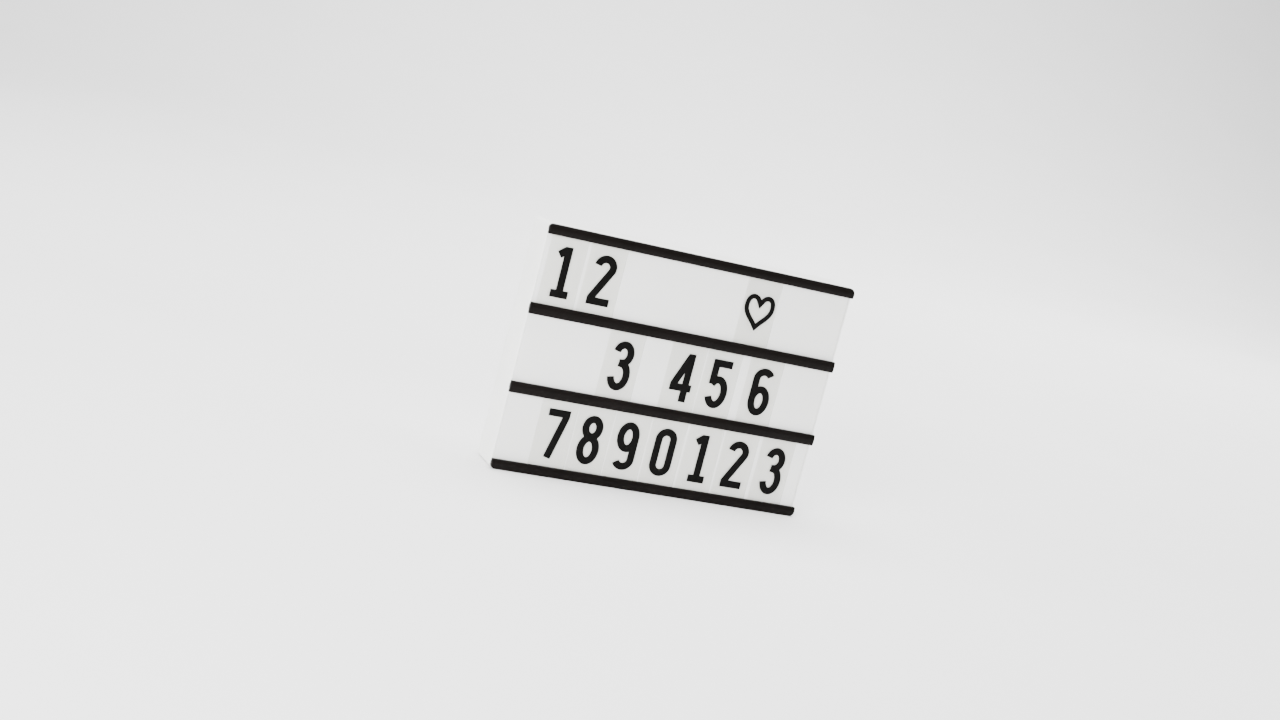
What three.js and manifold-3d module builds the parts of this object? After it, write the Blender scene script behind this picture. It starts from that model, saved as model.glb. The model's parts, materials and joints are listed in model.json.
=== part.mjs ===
// A cinema light box: a white housing with an opal front panel, four black rails and clear letter cards
// that slide in the rails. Millimetres, +Z up. X runs along the rails, the front faces -Y, and the origin
// lies on the surface that the box stands on, under the middle of its bounding box.
import * as THREE from "three";
import { mergeVertices } from "three/addons/utils/BufferGeometryUtils.js";
import Module from "manifold-3d";

const wasm = await Module();
wasm.setup();

// Fits and clearances
const fitGap = 0.3;
const cutOverrun = 1;
const weldDistance = 0.0005;

// Housing: a deep front frame and a flat rear cover with one outline
const housingWidth = 300;
const housingHeight = 220;
const housingDepth = 40;
const housingWall = 2.2;
const housingCornerRadius = 4;
const housingSoftEdge = 0.8;
const coverThickness = 2.5;
const coverLipHeight = 3;
const coverLipWall = 1.5;

// Opal front panel in its rebate
const panelThickness = 2;
const panelRim = 1.5;
const ledgeWidth = 8;
const ledgeThickness = 1.8;

// Rails: the end rails close the panel off, the middle rails hold cards on both sides
const railDepth = 5;
const endRailHeight = 9;
const middleRailHeight = 10;
const railCrown = 0.5;
const railEdgeRound = 1.2;
const grooveWidth = 1.2;
const seatGrooveDepth = 2.2;
const liftGrooveDepth = 3.4;
const railPegDiameter = 3;
const railPegRecess = 0.5;

// Letter cards: the free length of a row is shared out between the cards
const cardWidth = 34;
const cardThickness = 0.5;
const cardCornerRadius = 1.5;
const cardEngagement = 1.4;
const gapSharesByRow = {
  top: [0.027, 0.016, 0.6],
  middle: [0.482, 0.162, 0.0104, 0.053],
  bottom: [0.542, 0.0194, 0.0226, 0.029, 0.0419, 0.0387, 0.0645],
};

// Screws that hold the rear cover, and the posts and cups that they pass
const screwHeadDiameter = 5.6;
const screwHeadHeight = 1.8;
const screwShankDiameter = 2.8;
const screwShankLength = 12;
const screwSlotDepth = 0.9;
const screwSlotWidth = 1;
const screwInset = 9.5;
const screwMiddlePlaceShare = 0.18;
const cupWall = 1.5;
const cupFloor = 1.8;
const cupBoreDepth = 6.5;
const postDiameter = 7.2;
const postRibThickness = 1.6;

// Battery bay for six AA cells: three rows of two
const cellDiameter = 14.5;
const cellLength = 50.5;
const cellPlay = 0.5;
const cellRows = 3;
const cellsPerRow = 2;
const contactAllowance = 8;
const bayWall = 1.6;
const bayBottomHeight = 32;
const bayRebate = 2;
const bayFlangeWidth = 4.5;
const bayFlangeThickness = 2;
const bayStakeDiameter = 2.4;
const bayStakeLength = 3;
const cradleRibHeight = 4;
const cradleRibThickness = 1.2;

// Battery door
const doorThickness = 2;
const doorCornerRadius = 2;
const doorTabWidth = 12;
const doorTabLength = 3;
const doorTabThickness = 1;
const doorTabPlaceShare = 0.3;
const doorTongueWidth = 16;
const doorTongueLength = 10;
const doorTongueSlit = 1.2;
const doorThumbDepth = 0.8;
const doorRibHeight = 1;
const doorRibThickness = 1.2;

// Battery contacts
const contactThickness = 0.5;
const contactMargin = 1.2;
const contactDimpleDiameter = 5;
const contactDimpleHeight = 0.9;
const contactTabWidth = 3;
const contactTabReach = 2.6;
const springWireDiameter = 0.7;
const springSmallDiameter = 4.6;
const springLargeDiameter = 9.6;
const springLength = 6.4;
const springTurns = 4;
const springStepsPerTurn = 8;
const springSides = 5;

// Light strips on the rear cover
const stripEndInset = 18;
const stripWidth = 8;
const stripThickness = 1;
const stripStandoff = 3;
const stripEdgeInset = 20.5;
const stripPadWidth = 6;
const lampsPerStrip = 9;
const lampSide = 5;
const lampHeight = 1.4;

// Control board with its switch and socket, in a recess of the rear cover
const recessWidth = 34;
const recessHeight = 12;
const recessDepth = 3;
const recessFloor = 2;
const recessWall = 1.8;
const recessPlaceShare = 0.367;
const recessCentreHeight = 60;
const boardWidth = 39.4;
const boardReach = 13;
const boardThickness = 1.6;
const boardDrop = 1.4;
const boardGuideThickness = 4;
const boardGuideWall = 2.4;
const chipWidth = 6;
const chipReach = 4;
const chipHeight = 1.5;
const switchPlaceShare = 0.24;
const switchWidth = 11;
const switchReach = 4.4;
const switchHeight = 4.7;
const switchSlotHeight = 2;
const switchSlotDepth = 2.5;
const switchTravel = 3;
const knobStemWidth = 2;
const knobStemHeight = 1.4;
const knobCapWidth = 4;
const knobCapHeight = 5;
const knobCapReach = 2.2;
const knobRidges = 3;
const knobRidgeDepth = 0.4;
const socketWidth = 7.5;
const socketReach = 5.6;
const socketHeight = 2.6;
const socketWall = 0.3;
const socketHollowDepth = 4.6;
const socketTongueThickness = 0.6;
const socketTongueWidth = 4;
const socketProud = 1.6;

// Keyholes for hanging on two wall screws
const keyholeHeadDiameter = 9;
const keyholeNeckDiameter = 4.6;
const keyholeRise = 9;
const keyholePlaceShare = 0.333;
const keyholeHeight = 166;

// Leads inside the housing
const leadDiameter = 1.4;
const leadSides = 8;
const leadStepsPerSpan = 4;

// Facets of the round forms
const cornerSteps = 4;
const rodSides = 16;
const pegSides = 10;
const quarterTurn = Math.PI / 2;

// Depths, from the front of the rails to the back of the cover
const frontY = -(housingDepth + railDepth) / 2;
const housingFrontY = frontY + railDepth;
const backY = housingFrontY + housingDepth;
const coverInnerY = backY - coverThickness;
const panelBackY = housingFrontY + panelThickness;
const ledgeFrontY = panelBackY + fitGap;
const ledgeBackY = ledgeFrontY + ledgeThickness;
const railBackY = housingFrontY - fitGap;
const lipBackY = housingFrontY - grooveWidth;

// Half sizes and heights that several pieces share
const halfWidth = housingWidth / 2;
const windowHeight = (housingHeight - 2 * endRailHeight - 2 * middleRailHeight) / 3;
const cardHeight = windowHeight + seatGrooveDepth - fitGap + cardEngagement;
const pegPlaceX = halfWidth - panelRim - ledgeWidth / 2;
const cupFloorY = backY - cupBoreDepth;
const cupEndY = cupFloorY - cupFloor;
const postEndY = cupEndY - fitGap;
const cupRadius = screwHeadDiameter / 2 + fitGap + cupWall;

const rowPitch = cellDiameter + cellPlay;
const bayHeight = cellRows * rowPitch;
const bayHalfLength = (cellsPerRow * cellLength + contactAllowance) / 2;
const bayTopHeight = bayBottomHeight + bayHeight;
const doorOuterY = backY - fitGap;
const doorInnerY = doorOuterY - doorThickness;
const bayBackY = coverInnerY - fitGap;
const bayFloorY = doorInnerY - cellDiameter - cellPlay;
const cellAxisY = bayFloorY + rowPitch / 2;
const bayLeadRoom = bayRebate + bayWall;
const stakeX = bayHalfLength + bayRebate + bayFlangeWidth / 2;

const recessX = recessPlaceShare * housingWidth;
const recessFloorY = backY - recessDepth;
const recessInnerY = recessFloorY - recessFloor;
const boardTopHeight = recessCentreHeight - boardDrop;
const boardFrontY = recessInnerY - fitGap - boardReach;
const boardMiddleHeight = boardTopHeight - boardThickness / 2;
const guideSlotHeight = boardThickness + 2 * fitGap;
const guideHeight = guideSlotHeight + 2 * boardGuideWall;
const guideTopHeight = boardMiddleHeight + guideHeight / 2;
const switchX = recessX - switchPlaceShare * recessWidth;
const socketX = recessX + switchPlaceShare * recessWidth;
const partSeatHeight = boardTopHeight + fitGap;
const switchCentreHeight = partSeatHeight + switchHeight / 2;
const socketCentreHeight = partSeatHeight + socketHeight / 2;

const stripLength = housingWidth - 2 * stripEndInset;
const stripBackY = coverInnerY - stripStandoff - fitGap;
const stripFrontY = stripBackY - stripThickness;
const stripHeights = {
  lower: stripEdgeInset,
  middle: housingHeight / 2,
  upper: housingHeight - stripEdgeInset,
};

// Finishes
function finish(color, roughness, metalness = 0) {
  return new THREE.MeshStandardMaterial({ color, roughness, metalness });
}

const whiteAbs = finish(0xebebe8, 0.5);
const opalAcrylic = finish(0xdedddb, 0.25);
const blackAbs = finish(0x231e1d, 0.38);
const clearCard = finish(0xe4e4e2, 0.2);
const boardGreen = finish(0x2f5d3a, 0.6);
const stripWhite = finish(0xf0f0ea, 0.5);
const nickelPlate = finish(0xb9b6ae, 0.3, 1);
const zincSteel = finish(0x9a9a98, 0.35, 1);
const switchBlack = finish(0x1c1c1c, 0.5);
const leadRed = finish(0xa02020, 0.5);
const leadBlack = finish(0x1a1a1a, 0.5);

// A closed geometry as a solid that can be joined and cut
function solidFrom(geometry) {
  const bare = geometry.clone();
  bare.deleteAttribute("normal");
  bare.deleteAttribute("uv");
  const welded = mergeVertices(bare, weldDistance);
  const vertProperties = welded.attributes.position.array;
  const triVerts = new Uint32Array(welded.index.array);
  return new wasm.Manifold(new wasm.Mesh({ numProp: 3, vertProperties, triVerts }));
}

const root = new THREE.Group();

// Adds a solid to the box as a named piece
function addPiece(name, solid, material) {
  const { vertProperties, triVerts } = solid.getMesh();
  const geometry = new THREE.BufferGeometry();
  geometry.setAttribute("position", new THREE.BufferAttribute(new Float32Array(vertProperties), 3));
  geometry.setIndex(new THREE.BufferAttribute(new Uint32Array(triVerts), 1));
  geometry.computeVertexNormals();
  const mesh = new THREE.Mesh(geometry, material);
  mesh.name = name;
  root.add(mesh);
}

function joined(solids) {
  return solids.reduce((whole, solid) => whole.add(solid));
}

function cut(solid, tools) {
  return tools.reduce((rest, tool) => rest.subtract(tool), solid);
}

// A box between two corners
function block(lowX, highX, lowY, highY, lowZ, highZ) {
  const geometry = new THREE.BoxGeometry(highX - lowX, highY - lowY, highZ - lowZ);
  geometry.translate((lowX + highX) / 2, (lowY + highY) / 2, (lowZ + highZ) / 2);
  return solidFrom(geometry);
}

// A box with its middle at centreX and centreZ
function centredBlock(centreX, width, lowY, highY, centreZ, height) {
  const lowX = centreX - width / 2;
  const lowZ = centreZ - height / 2;
  return block(lowX, lowX + width, lowY, highY, lowZ, lowZ + height);
}

// A round bar along Y
function rod(diameter, lowY, highY, x, z, sides = rodSides) {
  const geometry = new THREE.CylinderGeometry(diameter / 2, diameter / 2, highY - lowY, sides);
  geometry.translate(x, (lowY + highY) / 2, z);
  return solidFrom(geometry);
}

// An outline seen from the front, with round corners
function roundedOutline(lowX, highX, lowZ, highZ, radius) {
  const shape = new THREE.Shape();
  shape.absarc(highX - radius, lowZ + radius, radius, -quarterTurn, 0);
  shape.absarc(highX - radius, highZ - radius, radius, 0, quarterTurn);
  shape.absarc(lowX + radius, highZ - radius, radius, quarterTurn, 2 * quarterTurn);
  shape.absarc(lowX + radius, lowZ + radius, radius, 2 * quarterTurn, 3 * quarterTurn);
  shape.closePath();
  return shape;
}

// An outline seen from the front, given a depth from lowY to highY, with its outer edges softened by softEdge
function slab(shape, lowY, highY, softEdge = 0) {
  const geometry = new THREE.ExtrudeGeometry(shape, {
    depth: highY - lowY - 2 * softEdge,
    curveSegments: cornerSteps,
    bevelEnabled: softEdge > 0,
    bevelThickness: softEdge,
    bevelSize: softEdge,
    bevelOffset: -softEdge,
    bevelSegments: 2,
  });
  geometry.rotateX(quarterTurn);
  geometry.translate(0, highY - softEdge, 0);
  return solidFrom(geometry);
}

// A section drawn in Y and Z, run along X
function barAlongX(section, lowX, highX) {
  const geometry = new THREE.ExtrudeGeometry(section, {
    depth: highX - lowX,
    curveSegments: cornerSteps,
    bevelEnabled: false,
  });
  const sectionToX = new THREE.Matrix4().makeBasis(
    new THREE.Vector3(0, 1, 0),
    new THREE.Vector3(0, 0, 1),
    new THREE.Vector3(1, 0, 0),
  );
  geometry.applyMatrix4(sectionToX);
  geometry.translate(lowX, 0, 0);
  return solidFrom(geometry);
}

function insetOutline(inset, radius) {
  return roundedOutline(-halfWidth + inset, halfWidth - inset, inset, housingHeight - inset, radius);
}

// Housing

const housingOutline = insetOutline(0, housingCornerRadius);
const innerCornerRadius = housingCornerRadius - housingWall / 2;

// Where the rear cover's screws stand: the four corners and two places on each long side
function screwPlaces() {
  const cornerX = halfWidth - screwInset;
  const middleX = screwMiddlePlaceShare * housingWidth;
  const places = [];
  for (const z of [screwInset, housingHeight - screwInset])
    for (const x of [-cornerX, -middleX, middleX, cornerX])
      places.push({ x, z, atCorner: Math.abs(x) === cornerX });
  return places;
}

// The middle height of each rail, from the bottom up
function railHeights() {
  const step = windowHeight + middleRailHeight;
  const lower = endRailHeight + windowHeight + middleRailHeight / 2;
  return {
    bottom: endRailHeight / 2,
    middle_lower: lower,
    middle_upper: lower + step,
    top: housingHeight - endRailHeight / 2,
  };
}

function pegPlaces() {
  return Object.values(railHeights()).flatMap((z) => [-pegPlaceX, pegPlaceX].map((x) => ({ x, z })));
}

// The half of the softened housing block in front of or behind the parting line
function housingBlock(lowY, highY) {
  const whole = slab(housingOutline, housingFrontY, backY, housingSoftEdge);
  const between = block(-housingWidth, housingWidth, lowY, highY, -cutOverrun, housingHeight + cutOverrun);
  return whole.intersect(between);
}

// A screw post with ribs to the nearest walls
function screwPost({ x, z, atCorner }) {
  const wallZ = z < housingHeight / 2 ? 0 : housingHeight;
  const inwardZ = Math.sign(wallZ - z);
  const ribEndZ = wallZ - (inwardZ * housingWall) / 2;
  const ribLowZ = Math.min(z, ribEndZ);
  const ribHighZ = Math.max(z, ribEndZ);
  const halfRib = postRibThickness / 2;
  const parts = [
    rod(postDiameter, ledgeBackY - ledgeThickness / 2, postEndY, x, z),
    block(x - halfRib, x + halfRib, ledgeBackY - ledgeThickness / 2, postEndY, ribLowZ, ribHighZ),
  ];
  if (atCorner) {
    const ribEndX = Math.sign(x) * (halfWidth - housingWall / 2);
    const lowX = Math.min(x, ribEndX);
    const highX = Math.max(x, ribEndX);
    parts.push(block(lowX, highX, ledgeBackY - ledgeThickness / 2, postEndY, z - halfRib, z + halfRib));
  }
  return joined(parts);
}

function frontFrame() {
  const shell = housingBlock(housingFrontY - cutOverrun, coverInnerY - fitGap);
  const cavity = slab(insetOutline(housingWall, innerCornerRadius), ledgeBackY, coverInnerY + cutOverrun);
  const rebate = slab(insetOutline(panelRim, innerCornerRadius), housingFrontY - cutOverrun, ledgeFrontY);
  const window = slab(
    insetOutline(panelRim + ledgeWidth, innerCornerRadius),
    housingFrontY - cutOverrun,
    ledgeBackY + cutOverrun,
  );
  const posts = screwPlaces().map(screwPost);
  const boreDiameter = screwShankDiameter + 2 * fitGap;
  const boreEndY = cupFloorY - screwShankLength - cutOverrun;
  const bores = screwPlaces().map(({ x, z }) =>
    rod(boreDiameter, boreEndY, postEndY + cutOverrun, x, z, pegSides),
  );
  const pegHoles = pegPlaces().map(({ x, z }) =>
    rod(railPegDiameter + 2 * fitGap, ledgeFrontY - cutOverrun, ledgeBackY + cutOverrun, x, z, pegSides),
  );
  return cut(joined([cut(shell, [cavity, rebate, window]), ...posts]), [...bores, ...pegHoles]);
}

function diffuserPanel() {
  const panel = slab(insetOutline(panelRim + fitGap, innerCornerRadius), housingFrontY, panelBackY);
  const pegHoles = pegPlaces().map(({ x, z }) =>
    rod(railPegDiameter + 2 * fitGap, housingFrontY - cutOverrun, panelBackY + cutOverrun, x, z, pegSides),
  );
  return cut(panel, pegHoles);
}

// Rails

// The rail's section: a base on the panel and a crowned front with a lip over each card groove
function railSection(lowZ, highZ, lowerGroove, upperGroove) {
  const crownEdgeY = frontY + railCrown;
  const crownPullY = frontY - railCrown;
  const shape = new THREE.Shape();
  shape.moveTo(railBackY, lowZ + lowerGroove);
  shape.lineTo(railBackY, highZ - upperGroove);
  if (upperGroove > 0) {
    shape.lineTo(lipBackY, highZ - upperGroove);
    shape.lineTo(lipBackY, highZ);
  }
  shape.lineTo(crownEdgeY + railEdgeRound, highZ);
  shape.quadraticCurveTo(crownEdgeY, highZ, crownEdgeY, highZ - railEdgeRound);
  shape.quadraticCurveTo(crownPullY, (lowZ + highZ) / 2, crownEdgeY, lowZ + railEdgeRound);
  shape.quadraticCurveTo(crownEdgeY, lowZ, crownEdgeY + railEdgeRound, lowZ);
  if (lowerGroove > 0) {
    shape.lineTo(lipBackY, lowZ);
    shape.lineTo(lipBackY, lowZ + lowerGroove);
  }
  shape.closePath();
  return shape;
}

function rail(centreZ, height, lowerGroove, upperGroove) {
  const section = railSection(centreZ - height / 2, centreZ + height / 2, lowerGroove, upperGroove);
  const bar = barAlongX(section, -halfWidth, halfWidth);
  const outline = slab(housingOutline, frontY - cutOverrun, railBackY + cutOverrun);
  const pegs = [-pegPlaceX, pegPlaceX].map((x) =>
    rod(railPegDiameter, railBackY - railDepth / 2, ledgeBackY - railPegRecess, x, centreZ, pegSides),
  );
  return joined([bar.intersect(outline), ...pegs]);
}

function addRails() {
  const heights = railHeights();
  addPiece("rail_bottom", rail(heights.bottom, endRailHeight, 0, seatGrooveDepth), blackAbs);
  for (const name of ["middle_lower", "middle_upper"]) {
    const middle = rail(heights[name], middleRailHeight, liftGrooveDepth, seatGrooveDepth);
    addPiece("rail_" + name, middle, blackAbs);
  }
  addPiece("rail_top", rail(heights.top, endRailHeight, liftGrooveDepth, 0), blackAbs);
}

// Letter cards

// The low edge of each card in a row: the gaps before the cards share out the row's free length
function cardEdges(gapShares) {
  const freeLength = housingWidth - gapShares.length * cardWidth;
  let edge = -halfWidth;
  return gapShares.map((share) => {
    const low = edge + share * freeLength;
    edge = low + cardWidth;
    return low;
  });
}

function letterCard(lowX, windowLowZ) {
  const lowZ = windowLowZ - seatGrooveDepth + fitGap;
  const outline = roundedOutline(lowX, lowX + cardWidth, lowZ, lowZ + cardHeight, cardCornerRadius);
  const middleY = (lipBackY + housingFrontY) / 2;
  return slab(outline, middleY - cardThickness / 2, middleY + cardThickness / 2);
}

function addCards() {
  const step = windowHeight + middleRailHeight;
  const windowLows = { bottom: endRailHeight, middle: endRailHeight + step, top: endRailHeight + 2 * step };
  for (const [row, gapShares] of Object.entries(gapSharesByRow))
    cardEdges(gapShares).forEach((lowX, i) =>
      addPiece(`card_${row}_${i + 1}`, letterCard(lowX, windowLows[row]), clearCard),
    );
}

// Rear cover

// The lip that keeps the cover inside the frame's walls
function coverLip() {
  const outside = housingWall + fitGap;
  const inside = outside + coverLipWall;
  const lipLowY = coverInnerY - coverLipHeight;
  const ring = slab(insetOutline(outside, innerCornerRadius), lipLowY, coverInnerY + coverThickness / 2);
  const hollow = slab(insetOutline(inside, innerCornerRadius), lipLowY - cutOverrun, coverInnerY);
  return cut(ring, [hollow]);
}

function doorOutline(inset) {
  const edge = bayRebate - inset;
  return roundedOutline(
    -bayHalfLength - edge,
    bayHalfLength + edge,
    bayBottomHeight - edge,
    bayTopHeight + edge,
    doorCornerRadius,
  );
}

// The stakes on the cover that hold the bay's flange, two at each end
function stakes(diameter, lowY, highY) {
  const heights = [rowCentreZ(0), rowCentreZ(cellRows - 1)];
  return heights.flatMap((z) => [-stakeX, stakeX].map((x) => rod(diameter, lowY, highY, x, z, pegSides)));
}

function cradleRibs() {
  const ribs = [];
  for (let row = 1; row < cellRows; row++)
    ribs.push(
      centredBlock(
        0,
        2 * (bayHalfLength - contactAllowance),
        bayFloorY - bayWall / 2,
        bayFloorY + cradleRibHeight,
        bayBottomHeight + row * rowPitch,
        cradleRibThickness,
      ),
    );
  return ribs;
}

function doorTabXs() {
  return [-1, 1].map((side) => side * doorTabPlaceShare * 2 * bayHalfLength);
}

// Room for the door's tabs, which swing inwards as the door opens
function tabSlots() {
  const reach = Math.hypot(doorThickness, doorTabLength) + fitGap;
  const doorLowZ = bayBottomHeight - bayRebate;
  return doorTabXs().map((x) =>
    block(
      x - doorTabWidth / 2 - fitGap,
      x + doorTabWidth / 2 + fitGap,
      doorOuterY - reach,
      doorInnerY + doorTabThickness + fitGap,
      doorLowZ - doorTabLength,
      bayBottomHeight + cutOverrun,
    ),
  );
}

// The height of the middle of a row of cells
function rowCentreZ(row) {
  return bayBottomHeight + (row + 1 / 2) * rowPitch;
}

// The battery bay: a tray with a flange that stands behind the door's opening in the cover
function batteryBay() {
  const tray = block(
    -bayHalfLength - bayWall,
    bayHalfLength + bayWall,
    bayFloorY - bayWall,
    bayBackY,
    bayBottomHeight - bayWall,
    bayTopHeight + bayWall,
  );
  const flange = slab(doorOutline(-bayFlangeWidth), bayBackY - bayFlangeThickness, bayBackY);
  const hollow = block(
    -bayHalfLength,
    bayHalfLength,
    bayFloorY,
    bayBackY + cutOverrun,
    bayBottomHeight,
    bayTopHeight,
  );
  const stakeHoles = stakes(bayStakeDiameter + 2 * fitGap, bayFloorY, bayBackY + cutOverrun);
  const opened = cut(tray.add(flange), [hollow, ...tabSlots(), ...contactTabSlots(), ...stakeHoles]);
  return joined([opened, ...cradleRibs()]);
}

function contactTabSlots() {
  const slotWidth = contactTabWidth + 2 * fitGap;
  const slotDepths = tabDepths(contactThickness + 2 * fitGap);
  const wallX = bayHalfLength + bayWall / 2;
  return contactTabPlaces().map(({ side, z }) =>
    centredBlock(side * wallX, bayWall + 2 * cutOverrun, ...slotDepths, z, slotWidth),
  );
}

function keyhole(side) {
  const x = side * keyholePlaceShare * housingWidth;
  const lowY = coverInnerY - cutOverrun;
  const highY = backY + cutOverrun;
  const neckTop = keyholeHeight + keyholeRise;
  return joined([
    rod(keyholeHeadDiameter, lowY, highY, x, keyholeHeight),
    centredBlock(x, keyholeNeckDiameter, lowY, highY, (keyholeHeight + neckTop) / 2, keyholeRise),
    rod(keyholeNeckDiameter, lowY, highY, x, neckTop),
  ]);
}

function stripPads() {
  const padXs = [-1, 0, 1].map((side) => (side * (stripLength - stripPadWidth)) / 2);
  const lowY = coverInnerY - stripStandoff;
  return Object.values(stripHeights).flatMap((z) =>
    padXs.map((x) => centredBlock(x, stripPadWidth, lowY, coverInnerY + cutOverrun, z, stripWidth)),
  );
}

// Two guides that hold the control board by its short edges
function boardGuides() {
  const board = centredBlock(
    recessX,
    boardWidth + 2 * fitGap,
    boardFrontY - cutOverrun,
    recessInnerY,
    boardMiddleHeight,
    guideSlotHeight,
  );
  const guides = [-1, 1].map((side) =>
    centredBlock(
      recessX + (side * boardWidth) / 2,
      boardGuideThickness,
      boardFrontY,
      coverInnerY + cutOverrun,
      boardMiddleHeight,
      guideHeight,
    ),
  );
  return guides.map((guide) => guide.subtract(board));
}

function recessShell() {
  return centredBlock(
    recessX,
    recessWidth + 2 * recessWall,
    recessInnerY,
    coverInnerY + cutOverrun,
    recessCentreHeight,
    recessHeight + 2 * recessWall,
  );
}

function recessCuts() {
  const lowY = recessInnerY - cutOverrun;
  const highY = backY + cutOverrun;
  const lowX = recessX - recessWidth / 2;
  const lowZ = recessCentreHeight - recessHeight / 2;
  const outline = roundedOutline(lowX, lowX + recessWidth, lowZ, lowZ + recessHeight, doorCornerRadius);
  const knobSlotWidth = knobStemWidth + switchTravel + 2 * fitGap;
  const knobSlotHeight = knobStemHeight + 2 * fitGap;
  const socketHoleWidth = socketWidth + 2 * fitGap;
  const socketHoleHeight = socketHeight + 2 * fitGap;
  return [
    slab(outline, recessFloorY, highY),
    centredBlock(switchX, knobSlotWidth, lowY, highY, switchCentreHeight, knobSlotHeight),
    centredBlock(socketX, socketHoleWidth, lowY, highY, socketCentreHeight, socketHoleHeight),
  ];
}

function rearCover() {
  const plate = housingBlock(coverInnerY, backY + cutOverrun);
  const cups = screwPlaces().map(({ x, z }) =>
    rod(2 * cupRadius, cupEndY, coverInnerY + coverThickness / 2, x, z),
  );
  const headBoreDiameter = screwHeadDiameter + 2 * fitGap;
  const shankBoreDiameter = screwShankDiameter + 2 * fitGap;
  const headBores = screwPlaces().map(({ x, z }) =>
    rod(headBoreDiameter, cupFloorY, backY + cutOverrun, x, z),
  );
  const shankBores = screwPlaces().map(({ x, z }) =>
    rod(shankBoreDiameter, cupEndY - cutOverrun, backY, x, z, pegSides),
  );
  const doorway = slab(doorOutline(0), coverInnerY - cutOverrun, backY + cutOverrun);
  const bayStakes = stakes(bayStakeDiameter, coverInnerY - bayStakeLength, coverInnerY + coverThickness / 2);
  const walls = joined([plate, coverLip(), ...cups, recessShell()]);
  const fixings = joined([...stripPads(), ...boardGuides(), ...bayStakes]);
  return cut(walls.add(fixings), [
    doorway,
    ...tabSlots(),
    ...headBores,
    ...shankBores,
    keyhole(-1),
    keyhole(1),
    ...recessCuts(),
  ]);
}

// Battery door, hinged on two tabs at its lower edge

function batteryDoor() {
  const lowZ = bayBottomHeight - bayRebate + fitGap;
  const topZ = bayTopHeight + bayRebate - fitGap;
  const plate = slab(doorOutline(fitGap), doorInnerY, doorOuterY);
  const tabs = doorTabXs().map((x) =>
    block(
      x - doorTabWidth / 2,
      x + doorTabWidth / 2,
      doorInnerY,
      doorInnerY + doorTabThickness,
      lowZ - doorTabLength + fitGap,
      lowZ + bayRebate,
    ),
  );
  const tongueLowZ = topZ - doorTongueLength;
  const slits = [-1, 1].map((side) =>
    centredBlock(
      (side * (doorTongueWidth + doorTongueSlit)) / 2,
      doorTongueSlit,
      doorInnerY - cutOverrun,
      doorOuterY + cutOverrun,
      (tongueLowZ + topZ + cutOverrun) / 2,
      doorTongueLength + cutOverrun,
    ),
  );
  const thumbOutline = roundedOutline(
    -doorTongueWidth / 2 + doorTongueSlit,
    doorTongueWidth / 2 - doorTongueSlit,
    tongueLowZ,
    topZ - doorTongueSlit,
    doorCornerRadius,
  );
  const thumbRecess = slab(thumbOutline, doorOuterY - doorThumbDepth, doorOuterY + cutOverrun);
  return cut(joined([plate, ...tabs, ...doorRibs()]), [...slits, thumbRecess]);
}

// Ribs on the door's inner face that keep the rows of cells apart
function doorRibs() {
  const ribs = [];
  for (let row = 1; row < cellRows; row++)
    ribs.push(
      centredBlock(
        0,
        bayHalfLength,
        doorInnerY - doorRibHeight,
        doorInnerY + doorThickness / 2,
        bayBottomHeight + row * rowPitch,
        doorRibThickness,
      ),
    );
  return ribs;
}

// Battery contacts and springs

// Rows with their spring on the low X side alternate with rows that have it on the high X side
function springSide(row) {
  return row % 2 === 0 ? -1 : 1;
}

function contactFaceX(side) {
  return side * (bayHalfLength - fitGap);
}

// The two ends of the chain of cells: the low side of the first row and the high side of the last
function contactTabPlaces() {
  return [
    { side: -1, z: rowCentreZ(0) },
    { side: 1, z: rowCentreZ(cellRows - 1) },
  ];
}

// The depth range of a solder tab or its slot, just above the bay's floor
function tabDepths(thickness) {
  const middleY = bayFloorY + contactMargin + contactThickness / 2;
  return [middleY - thickness / 2, middleY + thickness / 2];
}

// A plate on an end wall that spans the given rows, with a dimple where a row has its positive end
function contactPlate(side, rows) {
  const faceX = contactFaceX(side);
  const innerX = faceX - side * contactThickness;
  const lowZ = rowCentreZ(rows[0]) - rowPitch / 2 + contactMargin;
  const highZ = rowCentreZ(rows[rows.length - 1]) + rowPitch / 2 - contactMargin;
  const plate = block(
    Math.min(faceX, innerX),
    Math.max(faceX, innerX),
    bayFloorY + contactMargin,
    bayBackY - contactMargin,
    lowZ,
    highZ,
  );
  const dimples = rows
    .filter((row) => springSide(row) !== side)
    .map((row) => {
      const geometry = new THREE.CylinderGeometry(
        contactDimpleDiameter / 2,
        contactDimpleDiameter / 2,
        contactDimpleHeight + contactThickness,
        rodSides,
      );
      geometry.rotateZ(quarterTurn);
      const middleX = faceX - (side * (contactDimpleHeight + contactThickness)) / 2;
      geometry.translate(middleX, cellAxisY, rowCentreZ(row));
      return solidFrom(geometry);
    });
  return joined([plate, ...dimples]);
}

function withSolderTab(plate, side, row) {
  const outerX = side * (bayHalfLength + bayWall + contactTabReach);
  const innerX = contactFaceX(side) - (side * contactThickness) / 2;
  const tab = centredBlock(
    (outerX + innerX) / 2,
    Math.abs(outerX - innerX),
    ...tabDepths(contactThickness),
    rowCentreZ(row),
    contactTabWidth,
  );
  return plate.add(tab);
}

function addContacts() {
  const last = cellRows - 1;
  const leftSingle = withSolderTab(contactPlate(-1, [0]), -1, 0);
  const rightSingle = withSolderTab(contactPlate(1, [last]), 1, last);
  addPiece("contact_negative", leftSingle, nickelPlate);
  addPiece("contact_positive", rightSingle, nickelPlate);
  for (let row = 0; row < last; row++) {
    const side = row % 2 === 0 ? 1 : -1;
    addPiece(`contact_bridge_${row + 1}`, contactPlate(side, [row, row + 1]), nickelPlate);
  }
}

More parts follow.
